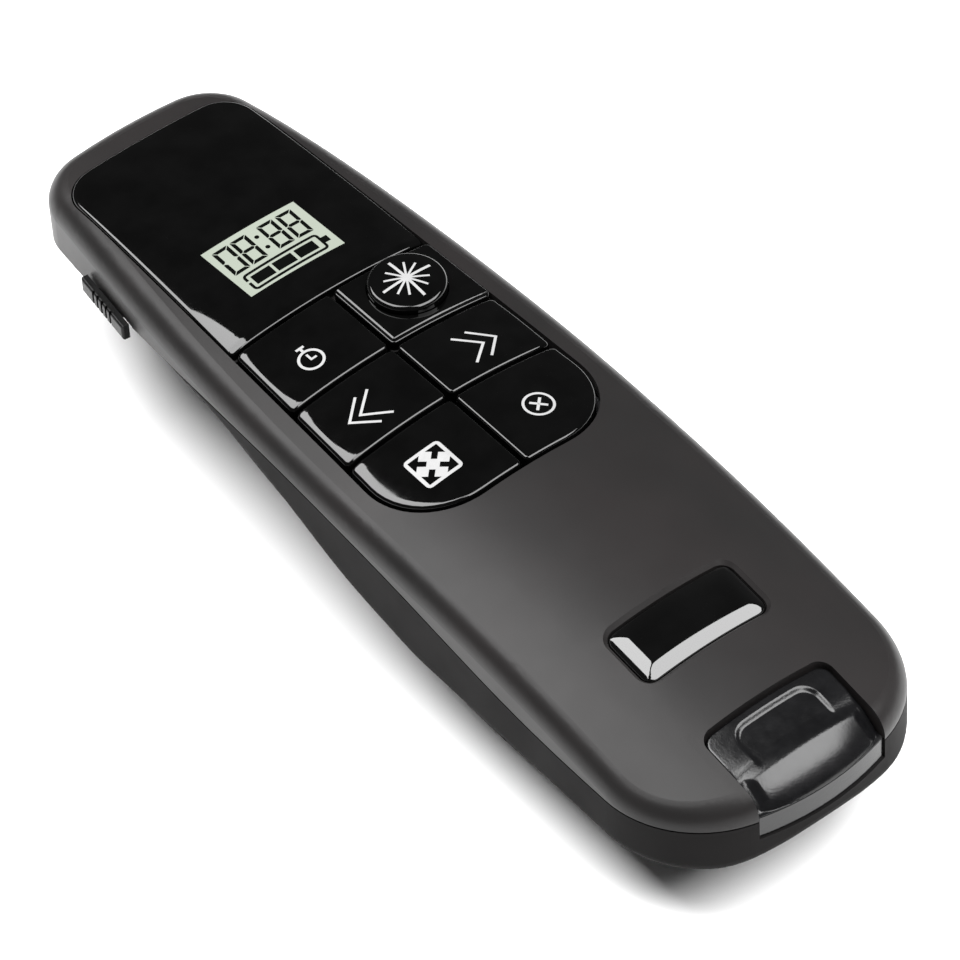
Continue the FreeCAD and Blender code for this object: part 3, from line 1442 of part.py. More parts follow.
def case_screws():
    """Four screws from below."""
    screws = []
    seat = number(screw_seat_z)
    for place in screw_places():
        head = upright(size.screw_head_diameter / 2, size.screw_head_height, place[0], place[1],
                       seat - number(size.screw_head_height))
        shank = upright(size.screw_diameter / 2, size.screw_length, place[0], place[1], seat)
        screw = joined([head, shank])
        reach = number(size.screw_head_diameter) / 2 * screw_slot_share
        half = number(size.screw_slot) / 2
        low = seat - number(size.screw_head_height)
        for wide, tall in ((reach, half), (half, reach)):
            slot = box((place[0] - wide, place[0] + wide), (place[1] - tall, place[1] + tall),
                       (low - number(size.overrun), low + number(size.screw_slot_depth)))
            screw = screw.cut(slot)
        screws.append(largest_solid(screw))
    add_part("case_screws", Part.makeCompound(screws))


screw_slot_share = 0.65

# Make every sub-part

outer_crown = crown_solid(0)
outer_upper = upper_blank(0)
outer_lower = lower_blank(0)
top_case()
bottom_case()
battery_door()
display_lens()
laser_panel()
keys()
laser_key()
badge()
receiver_cover()
receiver_base()
plug_parts()
keypad_mat()
main_board()
key_switches()
display_parts()
board_chips()
side_switch()
laser_parts()
cell("left_cell", -1, True)
cell("right_cell", 1, False)
contact_plates()
case_screws()
doc.recompute()

# Check every object, then write one file for each sub-part

for item in doc.Objects:
    if "Invalid" in item.State or "Error" in item.State:
        raise RuntimeError(f"{item.Label} failed: {item.State}")
sub_parts = [item for item in doc.Objects if item.TypeId in ("Part::Feature", "PartDesign::Body")]
for item in sub_parts:
    if item.Shape.isNull() or not item.Shape.isValid() or not item.Shape.Solids:
        raise RuntimeError(f"{item.Label} has no valid solid")
for item in sub_parts:
    item.Shape.exportStep(f"parts/{item.Label}.step")
print(len(sub_parts), "sub-parts written")
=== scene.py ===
import math
import json
import bpy
import bmesh
from mathutils import Matrix, Vector


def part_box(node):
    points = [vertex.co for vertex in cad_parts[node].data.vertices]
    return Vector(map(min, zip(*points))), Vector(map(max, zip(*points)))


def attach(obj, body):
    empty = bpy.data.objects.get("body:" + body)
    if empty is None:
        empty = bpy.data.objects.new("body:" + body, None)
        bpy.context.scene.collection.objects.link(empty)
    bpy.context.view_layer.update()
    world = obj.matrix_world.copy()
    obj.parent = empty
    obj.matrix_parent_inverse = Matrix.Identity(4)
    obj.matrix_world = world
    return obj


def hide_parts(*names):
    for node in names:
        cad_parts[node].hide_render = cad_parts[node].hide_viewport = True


# Wireless presentation clicker, in the frame of the CAD model: +Y points to
# the laser end and +Z is up. Shapes are worked out in millimetres and become
# metres when their mesh is made.

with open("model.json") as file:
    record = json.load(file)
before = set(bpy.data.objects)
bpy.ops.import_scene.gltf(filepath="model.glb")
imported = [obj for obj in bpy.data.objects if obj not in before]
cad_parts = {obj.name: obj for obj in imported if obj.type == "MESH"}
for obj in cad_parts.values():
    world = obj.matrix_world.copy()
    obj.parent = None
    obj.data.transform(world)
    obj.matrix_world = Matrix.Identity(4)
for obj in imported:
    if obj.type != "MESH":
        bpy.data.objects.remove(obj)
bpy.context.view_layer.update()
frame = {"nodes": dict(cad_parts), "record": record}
nodes = frame["nodes"]
MM = 0.001


# Finishes

def linear(shade):
    """Linear colour from an sRGB hex value."""
    values = [int(shade[place:place + 2], 16) / 255 for place in (1, 3, 5)]
    return [v / 12.92 if v <= 0.04045 else ((v + 0.055) / 1.055) ** 2.4 for v in values] + [1.0]


def add_node(finish, kind, settings, links):
    """A node with its socket settings and the sockets that feed its inputs."""
    node = finish.node_tree.nodes.new(kind)
    for socket, value in settings.items():
        node.inputs[socket].default_value = value
    for socket, source in links.items():
        finish.node_tree.links.new(source, node.inputs[socket])
    return node


def per_mm(spacing):
    """Scale of a pattern in metres whose marks lie so many millimetres apart."""
    return 1000 / spacing


def make_finish(name, shades, cloud_mm, gloss, smudge_mm, grain_mm, grain_depth_mm, **sockets):
    """A surface that drifts between two shades and two roughnesses, with a
    relief of its own. Each pattern's spacing is a real size in millimetres."""
    finish = bpy.data.materials.new(name)
    finish.use_nodes = True
    surface = finish.node_tree.nodes["Principled BSDF"]
    surface.inputs["Base Color"].default_value = linear(shades[0])
    for socket, value in sockets.items():
        surface.inputs[socket.replace("_", " ")].default_value = value
    place = add_node(finish, "ShaderNodeTexCoord", {}, {}).outputs["Object"]
    cloud, smudge, grain = (
        add_node(finish, "ShaderNodeTexNoise", {"Scale": per_mm(spacing), "Detail": 2.0},
                 {"Vector": place})
        for spacing in (cloud_mm, smudge_mm, grain_mm))
    shade = add_node(finish, "ShaderNodeValToRGB", {}, {"Fac": cloud.outputs["Fac"]})
    for stop, colour, position in zip(shade.color_ramp.elements, shades, (0.35, 0.65)):
        stop.color = linear(colour)
        stop.position = position
    spread = add_node(finish, "ShaderNodeMapRange", {
        "From Min": 0.3, "From Max": 0.7, "To Min": gloss[0], "To Max": gloss[1],
    }, {"Value": smudge.outputs["Fac"]})
    relief = add_node(finish, "ShaderNodeBump", {
        "Strength": 1.0, "Distance": grain_depth_mm * MM,
    }, {"Height": grain.outputs["Fac"]})
    links = finish.node_tree.links
    links.new(shade.outputs["Color"], surface.inputs["Base Color"])
    links.new(spread.outputs["Result"], surface.inputs["Roughness"])
    links.new(relief.outputs["Normal"], surface.inputs["Normal"])
    return finish


# After each name come the two shades, the spacing of their drift, the two
# roughnesses, the spacing of the smudges, and the grain's spacing and depth.
# The record has a slot for each of them, apart from the last five.
FINISHES = {
    # ABS, moulded and sprayed with soft-touch paint: a dark warm grey that
    # gives wide, dull highlights. The paint's grain of 0.05 mm is drawn at
    # 0.2 mm so that it shows.
    "housing": make_finish("soft_painted_abs", ("#1A1919", "#1D1B1B"), 16, (0.38, 0.41), 6,
                           0.2, 0.004, IOR=1.5, Specular_IOR_Level=0.19),
    # ABS, moulded in a mirror-polished tool: piano black with sharp
    # reflections that waver a little, as moulded plastic does.
    "gloss_black": make_finish("polished_black_abs", ("#020202", "#040404"), 4, (0.035, 0.06), 1.4,
                               6.0, 0.002, IOR=1.54, Specular_IOR_Level=0.36),
    # ABS, moulded in a spark-eroded tool: black, half glossy, with a fine
    # pebble of 0.25 mm that breaks up its highlights.
    "receiver_black": make_finish("sparked_black_abs", ("#0A0A0B", "#0F0F10"), 2, (0.17, 0.22), 1.1,
                                  0.25, 0.011, IOR=1.5, Specular_IOR_Level=0.36),
    # Steel, stamped and nickel plated: bright, a little soft from rolling.
    "plated_steel": make_finish("nickel_plated_steel", ("#CBC9C8", "#D3D1CF"), 1.6, (0.19, 0.25), 0.4,
                                0.2, 0.001, Metallic=1.0),
    # Glass-filled epoxy under green solder mask: even and half glossy, with
    # the weave of 0.5 mm just showing.
    "circuit_board": make_finish("masked_epoxy_board", ("#164E36", "#1E5A3F"), 3.3, (0.30, 0.40), 0.8,
                                 0.5, 0.003, IOR=1.55),
    # Gold flashed over nickel: warm and bright.
    "gold_contact": make_finish("gold_flashed_contact", ("#E5C477", "#EDCB80"), 1.3, (0.21, 0.29), 0.33,
                                0.2, 0.001, Metallic=1.0),
    # Silicone rubber, compression moulded: dark grey and dull.
    "silicone": make_finish("moulded_silicone", ("#3C3C3E", "#454547"), 4.4, (0.53, 0.70), 1.1,
                            0.5, 0.006, IOR=1.41),
    # Nickel silver, stamped: grey metal with a soft shine.
    "switch_metal": make_finish("stamped_nickel_silver", ("#BEBCB9", "#C9C7C3"), 2, (0.25, 0.34), 0.5,
                                0.25, 0.002, Metallic=1.0),
    # Float glass of the display cell with its grey-green polariser.
    "display_glass": make_finish("display_cell_glass", ("#C8CDC3", "#CDD2C8"), 6.7, (0.13, 0.19), 1.7,
                                 2.0, 0.0005, IOR=1.52),
    # ABS, moulded unpolished: dull dark grey.
    "inner_plastic": make_finish("unpolished_abs", ("#2D2D2E", "#333334"), 2.7, (0.42, 0.58), 0.7,
                                 0.33, 0.004, IOR=1.54),
    # Filled epoxy, transfer moulded over the chip: near black and matt.
    "chip_black": make_finish("chip_epoxy", ("#202022", "#262628"), 1.3, (0.38, 0.52), 0.33,
                              0.17, 0.004, IOR=1.55),
    # ABS, moulded in a fine-blasted tool: black with a thin dull sheen.
    "knob_black": make_finish("blasted_black_abs", ("#0C0C0C", "#121212"), 1.5, (0.27, 0.37), 0.4,
                              0.2, 0.004, IOR=1.54, Specular_IOR_Level=0.12),
    # Brass, turned: yellow metal with soft tool marks.
    "laser_brass": make_finish("turned_brass", ("#D8B981", "#DEC089"), 2.2, (0.25, 0.35), 0.55,
                               0.28, 0.002, Metallic=1.0),
    # Acrylic, cast and dyed red: dark, smooth and glossy.
    "clear_window": make_finish("red_cast_acrylic", ("#7A2F2F", "#803232"), 5, (0.07, 0.09), 1.2,
                                0.6, 0.0005, IOR=1.49),
    # PVC, printed and shrunk round the cell: plain blue with a soft gloss.
    "cell_wrap": make_finish("shrunk_pvc_sleeve", ("#566F99", "#607AA6"), 10, (0.25, 0.35), 2.5,
                             1.3, 0.002, IOR=1.54),
    # Steel, cold headed and zinc plated: grey with a soft shine.
    "screw_steel": make_finish("zinc_plated_screw", ("#99979A", "#A5A3A6"), 1.8, (0.30, 0.40), 0.45,
                               0.23, 0.002, Metallic=1.0),

    # Looks that the record has no slot for.

    # ABS of the lower shell: its colour is a little darker than the sprayed top's,
    # which is painted shade of the underside, and its surface is duller.
    "shaded_lower_shell": make_finish("abs_shell_painted_shade", ("#151414", "#191818"), 16, (0.54, 0.60), 6,
                               0.25, 0.004, IOR=1.5, Specular_IOR_Level=0.03),
    # Polyurethane dome cast over the black badge: clear, thick and glossier
    # than the keys.
    "badge_dome": make_finish("cast_clear_dome", ("#020202", "#040404"), 4, (0.03, 0.05), 1.4,
                              6.0, 0.002, IOR=1.54, Coat_Weight=0.2, Coat_Roughness=0.03),
    # Pad-printed pale grey ink: flat, with a faint tooth of 0.25 mm.
    "key_ink": make_finish("pad_printed_ink", ("#8E8E8E", "#949494"), 2, (0.34, 0.46), 0.5,
                           0.25, 0.002, IOR=1.5),
    # Dyed liquid crystal: the dark bars of the figures.
    "display_ink": make_finish("dark_crystal", ("#020302", "#040504"), 2.7, (0.04, 0.06), 0.7,
                               6.0, 0.0005, IOR=1.5),
    # Rear reflector of the display, seen through the gloss of the lens: pale
    # grey-green and even.
    "display_panel": make_finish("display_reflector", ("#7F857B", "#82887E"), 8, (0.04, 0.06), 2,
                                 6.0, 0.0005, IOR=1.5),
}


def smooth_by_angle(mesh, degrees):
    """Smooth shading with sharp edges where faces meet steeply."""
    for polygon in mesh.polygons:
        polygon.use_smooth = True
    mesh.set_sharp_from_angle(angle=math.radians(degrees))


# Housing surfaces

CROWN_STATIONS = (-67.0, -44.8, -26.88, 3.2, 33.28, 67.0)
CROWN_HEIGHTS = (18.8, 22.4, 24.3, 24.75, 24.15, 21.4)
CROWN_SHARES = (-1.0, -0.70, -0.42, 0.05, 0.52, 1.0)
CROWN_RADIUS_TAIL = 46
CROWN_RADIUS_NOSE = 140

FACE_FRONT = 58.9
FACE_REAR = -13.1
FACE_LENGTH = 72.0
FACE_HALF_FRONT = 12.55
FACE_SPREAD = 3.0
FACE_RADIUS_REAR = 9.3
FACE_RADIUS_FRONT = 4.5
WINDOW_REAR = 23.0
SECOND_ROW = 11.2
THIRD_ROW = 0.6

KEY_PROUD = 0.25
KEY_RADIUS = 0.7
HALF_GAP = 0.25
KEY_MARGIN = 0.45
PLATE_MARGIN = 0.15

# Roll along the sides of the keys, and what a key's ends add to it. It fades
# out where the key field turns round its rear corners.
ROLL_WIDTH, ROLL_WIDTH_ENDS = 0.6, 1.15
ROLL_DROP, ROLL_DROP_ENDS = 0.05, 0.16
ROLL_FADE_LOW, ROLL_FADE_HIGH = FACE_REAR + 6.6, FACE_REAR + 12.5
ROLL_EVEN = FACE_REAR + 6.85

# Roll along the lens, wider than the keys' and deepest at its rear end.
LENS_ROLL_WIDTH, LENS_ROLL_DROP = 3.2, 0.12
LENS_ROLL_LENGTH, LENS_ROLL_DROP_REAR = 9.0, 0.26

# Terraces along the rear edges of both plates and the left of the laser plate.
TERRACE = 0.98
TERRACE_LENS = 1.0
TERRACE_SLOPE = 0.22
TERRACE_DROP_REAR, TERRACE_DROP_LEFT = 0.12, 0.09

LASER_CENTRE = (7.2, 17.75)
LASER_TOP = 25.98
LASER_DOME = 24.0
TAIL_CENTRE = (0.0, -31.0)
TAIL_RADIUS = 33.0


def crown(x, y):
    """Height of the crowned top: arcs across, one smooth curve along."""
    tail_curve, nose_curve = 1 / CROWN_RADIUS_TAIL, 1 / CROWN_RADIUS_NOSE
    heights = []
    for top, share in zip(CROWN_HEIGHTS, CROWN_SHARES):
        radius = 1 / (tail_curve + (nose_curve - tail_curve) * (share + 1) / 2)
        heights.append(top - radius + math.sqrt(radius * radius - x * x))
    total = 0.0
    for index, station in enumerate(CROWN_STATIONS):
        weight = 1.0
        for other, place in enumerate(CROWN_STATIONS):
            if other != index:
                weight *= (y - place) / (station - place)
        total += weight * heights[index]
    return total


def clamp(value):
    return min(1.0, max(0.0, value))


def smooth_step(value, low, high):
    share = clamp((value - low) / (high - low))
    return share * share * (3 - 2 * share)


def face_half_width(y):
    return FACE_HALF_FRONT + FACE_SPREAD * (FACE_FRONT - y) / FACE_LENGTH


def edge_distance(x, y):
    """Distance from a point of the face to the long side of the face."""
    return face_half_width(y) - abs(x)


def face_corners(low, high, side, margin):
    """Corners and radii of a piece of the face, as the keys are laid out."""
    rear_radius = FACE_RADIUS_REAR - margin if low < THIRD_ROW - 1 else KEY_RADIUS
    front_radius = FACE_RADIUS_FRONT - margin if high > WINDOW_REAR + 1 else KEY_RADIUS
    right_low, right_high = face_half_width(low) - margin, face_half_width(high) - margin
    left_low, left_high = -right_low, -right_high
    radii = [rear_radius, front_radius, front_radius, rear_radius]
    if side == "left":
        right_low = right_high = -HALF_GAP
        radii[0] = radii[1] = KEY_RADIUS
    if side == "right":
        left_low = left_high = HALF_GAP
        radii[2] = radii[3] = KEY_RADIUS
    return [(right_low, low), (right_high, high), (left_high, high), (left_low, low)], radii


def rear_corner(x, y):
    """Distance to the outline of the key field and how far it faces sideways."""
    centre_y = FACE_REAR + FACE_RADIUS_REAR
    centre_x = face_half_width(centre_y) - FACE_RADIUS_REAR
    if y > centre_y or abs(x) < centre_x:
        return edge_distance(x, y), 1.0 if y > centre_y else 0.0
    reach = max(0.001, math.hypot(abs(x) - centre_x, y - centre_y))
    return FACE_RADIUS_REAR - reach, ((abs(x) - centre_x) / reach) ** 1.5


def key_top(x, y):
    """Top of the keys: each rolls down at the side, more so at its ends."""
    low, high = (FACE_REAR, THIRD_ROW) if y < THIRD_ROW else (THIRD_ROW, SECOND_ROW)
    if y > SECOND_ROW:
        low, high = SECOND_ROW, WINDOW_REAR
    ends = min(1.0, abs(2 * y - low - high) / (high - low)) ** 2
    if y < ROLL_EVEN:
        ends = 0.0
    distance, sideways = rear_corner(x, y)
    near = max(0.0, 1 - (distance - KEY_MARGIN) / (ROLL_WIDTH + ROLL_WIDTH_ENDS * ends))
    drop = (ROLL_DROP + ROLL_DROP_ENDS * ends) * smooth_step(y, ROLL_FADE_LOW, ROLL_FADE_HIGH)
    return crown(x, y) + KEY_PROUD - drop * sideways * near * near


def panel_top(x, y):
    """Level plate with a terrace along its left and rear edges."""
    left = clamp((TERRACE - x) / TERRACE_SLOPE)
    rear = clamp((SECOND_ROW + TERRACE - y) / TERRACE_SLOPE)
    return crown(x, y) + KEY_PROUD - max(TERRACE_DROP_LEFT * left, TERRACE_DROP_REAR * rear)


def lens_top(x, y):
    """Lens that rolls down at its long sides, with a terrace at its rear."""
    near = max(0.0, 1 - (edge_distance(x, y) - PLATE_MARGIN) / LENS_ROLL_WIDTH)
    tail = max(0.0, 1 - (y - WINDOW_REAR) / LENS_ROLL_LENGTH)
    roll = (LENS_ROLL_DROP + LENS_ROLL_DROP_REAR * tail) * near * near
    rear = clamp((WINDOW_REAR + TERRACE_LENS - y) / TERRACE_SLOPE)
    return crown(x, y) + KEY_PROUD - roll - TERRACE_DROP_REAR * rear


def laser_top(x, y):
    """Domed top of the laser button."""
    distance = math.hypot(x - LASER_CENTRE[0], y - LASER_CENTRE[1])
    return LASER_TOP - LASER_DOME + math.sqrt(LASER_DOME ** 2 - distance ** 2)


# Meshes

def around(centre, radius, degrees):
    """The point at a distance and a direction from a centre."""
    angle = math.radians(degrees)
    return (centre[0] + radius * math.cos(angle), centre[1] + radius * math.sin(angle))


def rounded_outline(corners, radii, inset, spacing=0.55, arc_steps=12):
    """Points round a rounded polygon drawn in by inset, always as many."""
    count = len(corners)
    arcs = []
    for index in range(count):
        here = Vector(corners[index])
        before = (Vector(corners[index - 1]) - here).normalized()
        after = (Vector(corners[(index + 1) % count]) - here).normalized()
        half_angle = before.angle(after) / 2
        centre = here + (before + after).normalized() * (radii[index] / math.sin(half_angle))
        start = (here + before * (radii[index] / math.tan(half_angle))) - centre
        end = (here + after * (radii[index] / math.tan(half_angle))) - centre
        turn = start.angle_signed(end)
        radius = max(radii[index] - inset, 0.02)
        arc = []
        for step in range(arc_steps + 1):
            angle = math.atan2(start.y, start.x) - turn * step / arc_steps
            arc.append((centre.x + radius * math.cos(angle), centre.y + radius * math.sin(angle)))
        arcs.append(arc)
    points = []
    for index in range(count):
        points.extend(arcs[index])
        start = Vector(arcs[index][-1])
        end = Vector(arcs[(index + 1) % count][0])
        straight = (Vector(corners[(index + 1) % count]) - Vector(corners[index])).length
        steps = max(2, int(straight / spacing))
        for step in range(1, steps):
            point = start.lerp(end, step / steps)
            points.append((point.x, point.y))
    return points


def place_piece(name, mesh, slot, body):
    """A piece of the visible model with its finish, riding on a body."""
    obj = bpy.data.objects.new(name, mesh)
    bpy.context.collection.objects.link(obj)
    obj.data.materials.append(FINISHES[slot])
    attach(obj, body)
    return obj


def add_mesh(name, vertices, faces, slot, body, sharp=38.0):
    """A piece from vertices in millimetres, riding on a body."""
    mesh = bpy.data.meshes.new(name)
    mesh.from_pydata([(x * MM, y * MM, z * MM) for x, y, z in vertices], [], faces)
    mesh.validate()
    work = bmesh.new()
    work.from_mesh(mesh)
    bmesh.ops.remove_doubles(work, verts=work.verts, dist=1e-7)
    bmesh.ops.recalc_face_normals(work, faces=work.faces)
    work.to_mesh(mesh)
    work.free()
    smooth_by_angle(mesh, sharp)
    return place_piece(name, mesh, slot, body)


def bridge(faces, first, second, count):
    """Quads between two rings that start at the given vertex numbers."""
    for index in range(count):
        after = (index + 1) % count
        faces.append((first + index, first + after, second + after, second + index))


def stack_rings(rings):
    """Vertices of a stack of rings and the quads between them."""
    count = len(rings[0])
    faces = []
    for index in range(len(rings) - 1):
        bridge(faces, index * count, (index + 1) * count, count)
    return [point for ring in rings for point in ring], faces


def close_rings(rings, tip):
    """Vertices and faces of a solid: flat foot, stacked rings, a tip on top."""
    count = len(rings[0])
    vertices, quads = stack_rings(rings)
    faces = [tuple(range(count - 1, -1, -1))] + quads
    last = len(vertices) - count
    for index in range(count):
        faces.append((last + index, last + (index + 1) % count, len(vertices)))
    return vertices + [tip], faces


def wall_rings(outline, top, edge, bottom):
    """Rings of a wall with a rounded upper edge, from its foot up."""
    base = outline(0.0)
    rings = [[(x, y, bottom) for x, y in base], [(x, y, top(x, y) - edge) for x, y in base]]
    for step in range(1, 7):
        angle = math.radians(15 * step)
        drop = edge * (1 - math.sin(angle))
        inset = edge * (1 - math.cos(angle))
        rings.append([(x, y, top(x, y) - drop) for x, y in outline(inset)])
    return rings


def cap_mesh(outline, top, edge, bottom, inner_rings=16, centre=None):
    """Vertices and faces of a cap: flat foot, wall, rounded edge, crown."""
    rings = wall_rings(outline, top, edge, bottom)
    rim = outline(edge)
    if centre is None:
        centre = (sum(p[0] for p in rim) / len(rim), sum(p[1] for p in rim) / len(rim))
    for step in range(1, inner_rings):
        share = 1 - step / inner_rings
        ring = []
        for x, y in rim:
            px = centre[0] + (x - centre[0]) * share
            py = centre[1] + (y - centre[1]) * share
            ring.append((px, py, top(px, py)))
        rings.append(ring)
    return close_rings(rings, (centre[0], centre[1], top(*centre)))


def ring_mesh(outline, inner, top, edge, bottom, rings_between=10, inner_depth=1.2):
    """A plate with a rounded outer edge and an opening with a low wall."""
    rings = wall_rings(outline, top, edge, bottom)
    rim = outline(edge)
    hole = inner(rim)
    for step in range(1, rings_between + 1):
        share = step / rings_between
        ring = []
        for (x, y), (hx, hy) in zip(rim, hole):
            px, py = x + (hx - x) * share, y + (hy - y) * share
            ring.append((px, py, top(px, py)))
        rings.append(ring)
    lip, flare = 0.1, 0.12
    rings.append([(x, y, top(x, y) - lip) for x, y in hole])
    spread = [(hx + (x - hx) * flare, hy + (y - hy) * flare)
              for (x, y), (hx, hy) in zip(rim, hole)]
    rings.append([(x, y, top(x, y) - inner_depth) for x, y in spread])
    rings.append([(x, y, bottom) for x, y in spread])
    vertices, faces = stack_rings(rings)
    count = len(rim)
    bridge(faces, len(vertices) - count, 0, count)
    return vertices, faces


def node_low(node):
    """Height of a CAD piece's underside."""
    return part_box(node)[0][2] / MM


# Keys

KEYS = (
    ("timer", SECOND_ROW, WINDOW_REAR, "left"),
    ("previous", THIRD_ROW, SECOND_ROW, "left"),
    ("next", THIRD_ROW, SECOND_ROW, "right"),
    ("full_screen", FACE_REAR, THIRD_ROW, "left"),
    ("escape", FACE_REAR, THIRD_ROW, "right"),
)
KEY_EDGE = 0.42
CAD_SHARP_DEGREES = 32

LASER_RADIUS, LASER_SHOULDER = 4.62, 0.6
LASER_FLANGE, LASER_FLANGE_HEIGHT = 5.25, 0.6
LASER_HOLE = 4.75
LASER_SIDES = 128
PLATE_EDGE, LENS_EDGE = 0.22, 0.3


def make_key(name, row_low, row_high, side):
    """Gloss cap of a key, between the gaps of its row."""
    last_row = row_low == FACE_REAR
    low = row_low + (KEY_MARGIN if last_row else HALF_GAP)
    high = row_high - HALF_GAP
    corners, radii = face_corners(low, high, side, KEY_MARGIN)
    vertices, faces = cap_mesh(lambda inset: rounded_outline(corners, radii, inset), key_top,
                               KEY_EDGE, node_low(f"{name}_key"))
    piece = add_mesh(f"{name}_cap", vertices, faces, "gloss_black", name)
    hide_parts(f"{name}_key")


def make_laser_key():
    """Turned button: flange, wall, rounded shoulder and domed top."""
    centre_x, centre_y = LASER_CENTRE
    low = node_low("laser_key")

    def dome_z(distance):
        return laser_top(centre_x + distance, centre_y)

    flange_top = low + LASER_FLANGE_HEIGHT
    profile = [(LASER_FLANGE, low), (LASER_FLANGE, flange_top), (LASER_RADIUS, flange_top)]
    rim = LASER_RADIUS - LASER_SHOULDER
    base = dome_z(rim) - LASER_SHOULDER
    for step in range(0, 9):
        profile.append(around((rim, base), LASER_SHOULDER, 11.25 * step))
    for step in range(1, 14):
        distance = rim * (1 - step / 14)
        profile.append((distance, dome_z(distance)))
    turns = [2 * math.pi * index / LASER_SIDES for index in range(LASER_SIDES)]
    rings = [[(centre_x + distance * math.cos(angle), centre_y + distance * math.sin(angle), z)
              for angle in turns] for distance, z in profile]
    vertices, faces = close_rings(rings, (centre_x, centre_y, dome_z(0.0)))
    piece = add_mesh("laser_button", vertices, faces, "gloss_black", "laser")
    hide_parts("laser_key")


def make_lens():
    """Gloss plate over the front third of the face."""
    corners, radii = face_corners(WINDOW_REAR + HALF_GAP, FACE_FRONT - PLATE_MARGIN, "both",
                                  PLATE_MARGIN)
    vertices, faces = cap_mesh(lambda inset: rounded_outline(corners, radii, inset), lens_top,
                               LENS_EDGE, node_low("display_lens"), 60)
    piece = add_mesh("lens_plate", vertices, faces, "gloss_black", "housing")
    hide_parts("display_lens")


def make_laser_panel():
    """Square plate with a round opening for the laser button."""
    corners, radii = face_corners(SECOND_ROW + HALF_GAP, WINDOW_REAR - HALF_GAP, "right",
                                  PLATE_MARGIN)
    centre_x, centre_y = LASER_CENTRE

    def hole(rim):
        turns = [math.atan2(y - centre_y, x - centre_x) for x, y in rim]
        return [(centre_x + LASER_HOLE * math.cos(angle), centre_y + LASER_HOLE * math.sin(angle))
                for angle in turns]

    vertices, faces = ring_mesh(lambda inset: rounded_outline(corners, radii, inset), hole,
                                panel_top, PLATE_EDGE, node_low("laser_panel"), 40, 0.8)
    piece = add_mesh("laser_plate", vertices, faces, "gloss_black", "housing")
    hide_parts("laser_panel")


# Badge

BADGE_Y = -40.5
BADGE_HALF_WIDTH = 8.58
BADGE_HALF_DEPTH, BADGE_GAP = 4.0, 0.12
BADGE_RADIUS = 1.48
BADGE_PROUD = 0.05
BADGE_SWELL, BADGE_CORNER_SWELL = 0.60, 0.10
BADGE_SWELL_POWER = 1.45
BADGE_END_WIDTH, BADGE_SIDE_WIDTH, BADGE_SIDE_TAPER = 1.9, 2.3, 0.5
BADGE_EDGE = 0.25


def make_badge():
    """Clear-coated blank insert with a swollen edge."""
    low_y = BADGE_Y - BADGE_HALF_DEPTH + BADGE_GAP
    high_y = BADGE_Y + BADGE_HALF_DEPTH - BADGE_GAP
    corners = [(BADGE_HALF_WIDTH, low_y), (BADGE_HALF_WIDTH, high_y),
               (-BADGE_HALF_WIDTH, high_y), (-BADGE_HALF_WIDTH, low_y)]
    radii = [BADGE_RADIUS] * 4

    def swollen(x, y):
        end = max(0.0, 1 - (BADGE_HALF_WIDTH - abs(x)) / BADGE_END_WIDTH)
        side_width = BADGE_SIDE_WIDTH - BADGE_SIDE_TAPER * (x / BADGE_HALF_WIDTH) ** 2
        long_side = max(0.0, 1 - min(y - low_y, high_y - y) / side_width)
        edge_drop = BADGE_SWELL * max(end, long_side) ** BADGE_SWELL_POWER
        corner_drop = BADGE_CORNER_SWELL * min(end, long_side) ** 2
        return crown(x, y) + BADGE_PROUD - edge_drop - corner_drop

    vertices, faces = cap_mesh(lambda inset: rounded_outline(corners, radii, inset, 0.35), swollen,
                               BADGE_EDGE, node_low("badge"), 22, (0.0, BADGE_Y))
    piece = add_mesh("badge_dome", vertices, faces, "badge_dome", "housing")
    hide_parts("badge")


# Receiver

RECEIVER_HALF_WIDTH = 8.6
RECEIVER_FRONT = -52.9
RECEIVER_CORNER = 1.5
RECEIVER_TAIL_RADIUS = TAIL_RADIUS - 0.25
RECEIVER_SUNK = 0.25
RECEIVER_RINGS = 74
HOLLOW_Y = -56.2
HOLLOW_HALF_WIDTH, HOLLOW_HALF_DEPTH, HOLLOW_RADIUS = 5.6, 2.3, 2.1
HOLLOW_DROP = 0.34
HOLLOW_EDGE_LOW, HOLLOW_EDGE_HIGH = -0.15, 0.55
HOLLOW_FADE_LOW, HOLLOW_FADE_HIGH = -59.4, -57.6
SHELF_DROP, FLANK_SHARE = 0.42, 0.8
SHELF_REAR, SHELF_FRONT = -60.3, -58.3
FLANK_INNER, FLANK_OUTER = 6.7, 7.9
SIDE_EDGE = 0.35
SWELL_REACH, SWELL_RADIUS = 6.2, 8.5
TAIL_EDGE_WIDTH, TAIL_EDGE_DROP = 0.5, 0.3


def receiver_side(x, y):
    """Distance to the sides and the front of the receiver."""
    dx = abs(x) - (RECEIVER_HALF_WIDTH - RECEIVER_CORNER)
    dy = y - (RECEIVER_FRONT - RECEIVER_CORNER)
    if dx > 0 and dy > 0:
        return RECEIVER_CORNER - math.hypot(dx, dy)
    return min(RECEIVER_HALF_WIDTH - abs(x), RECEIVER_FRONT - y)


def receiver_tail(x, y):
    """Distance to the round rear edge of the receiver."""
    return RECEIVER_TAIL_RADIUS - math.hypot(x - TAIL_CENTRE[0], y - TAIL_CENTRE[1])


def stadium(x, y):
    """Distance inside the finger hollow, negative outside."""
    dx = max(abs(x) - (HOLLOW_HALF_WIDTH - HOLLOW_RADIUS), 0.0)
    dy = max(y - HOLLOW_Y - (HOLLOW_HALF_DEPTH - HOLLOW_RADIUS), 0.0)
    return HOLLOW_RADIUS - math.hypot(dx, dy)


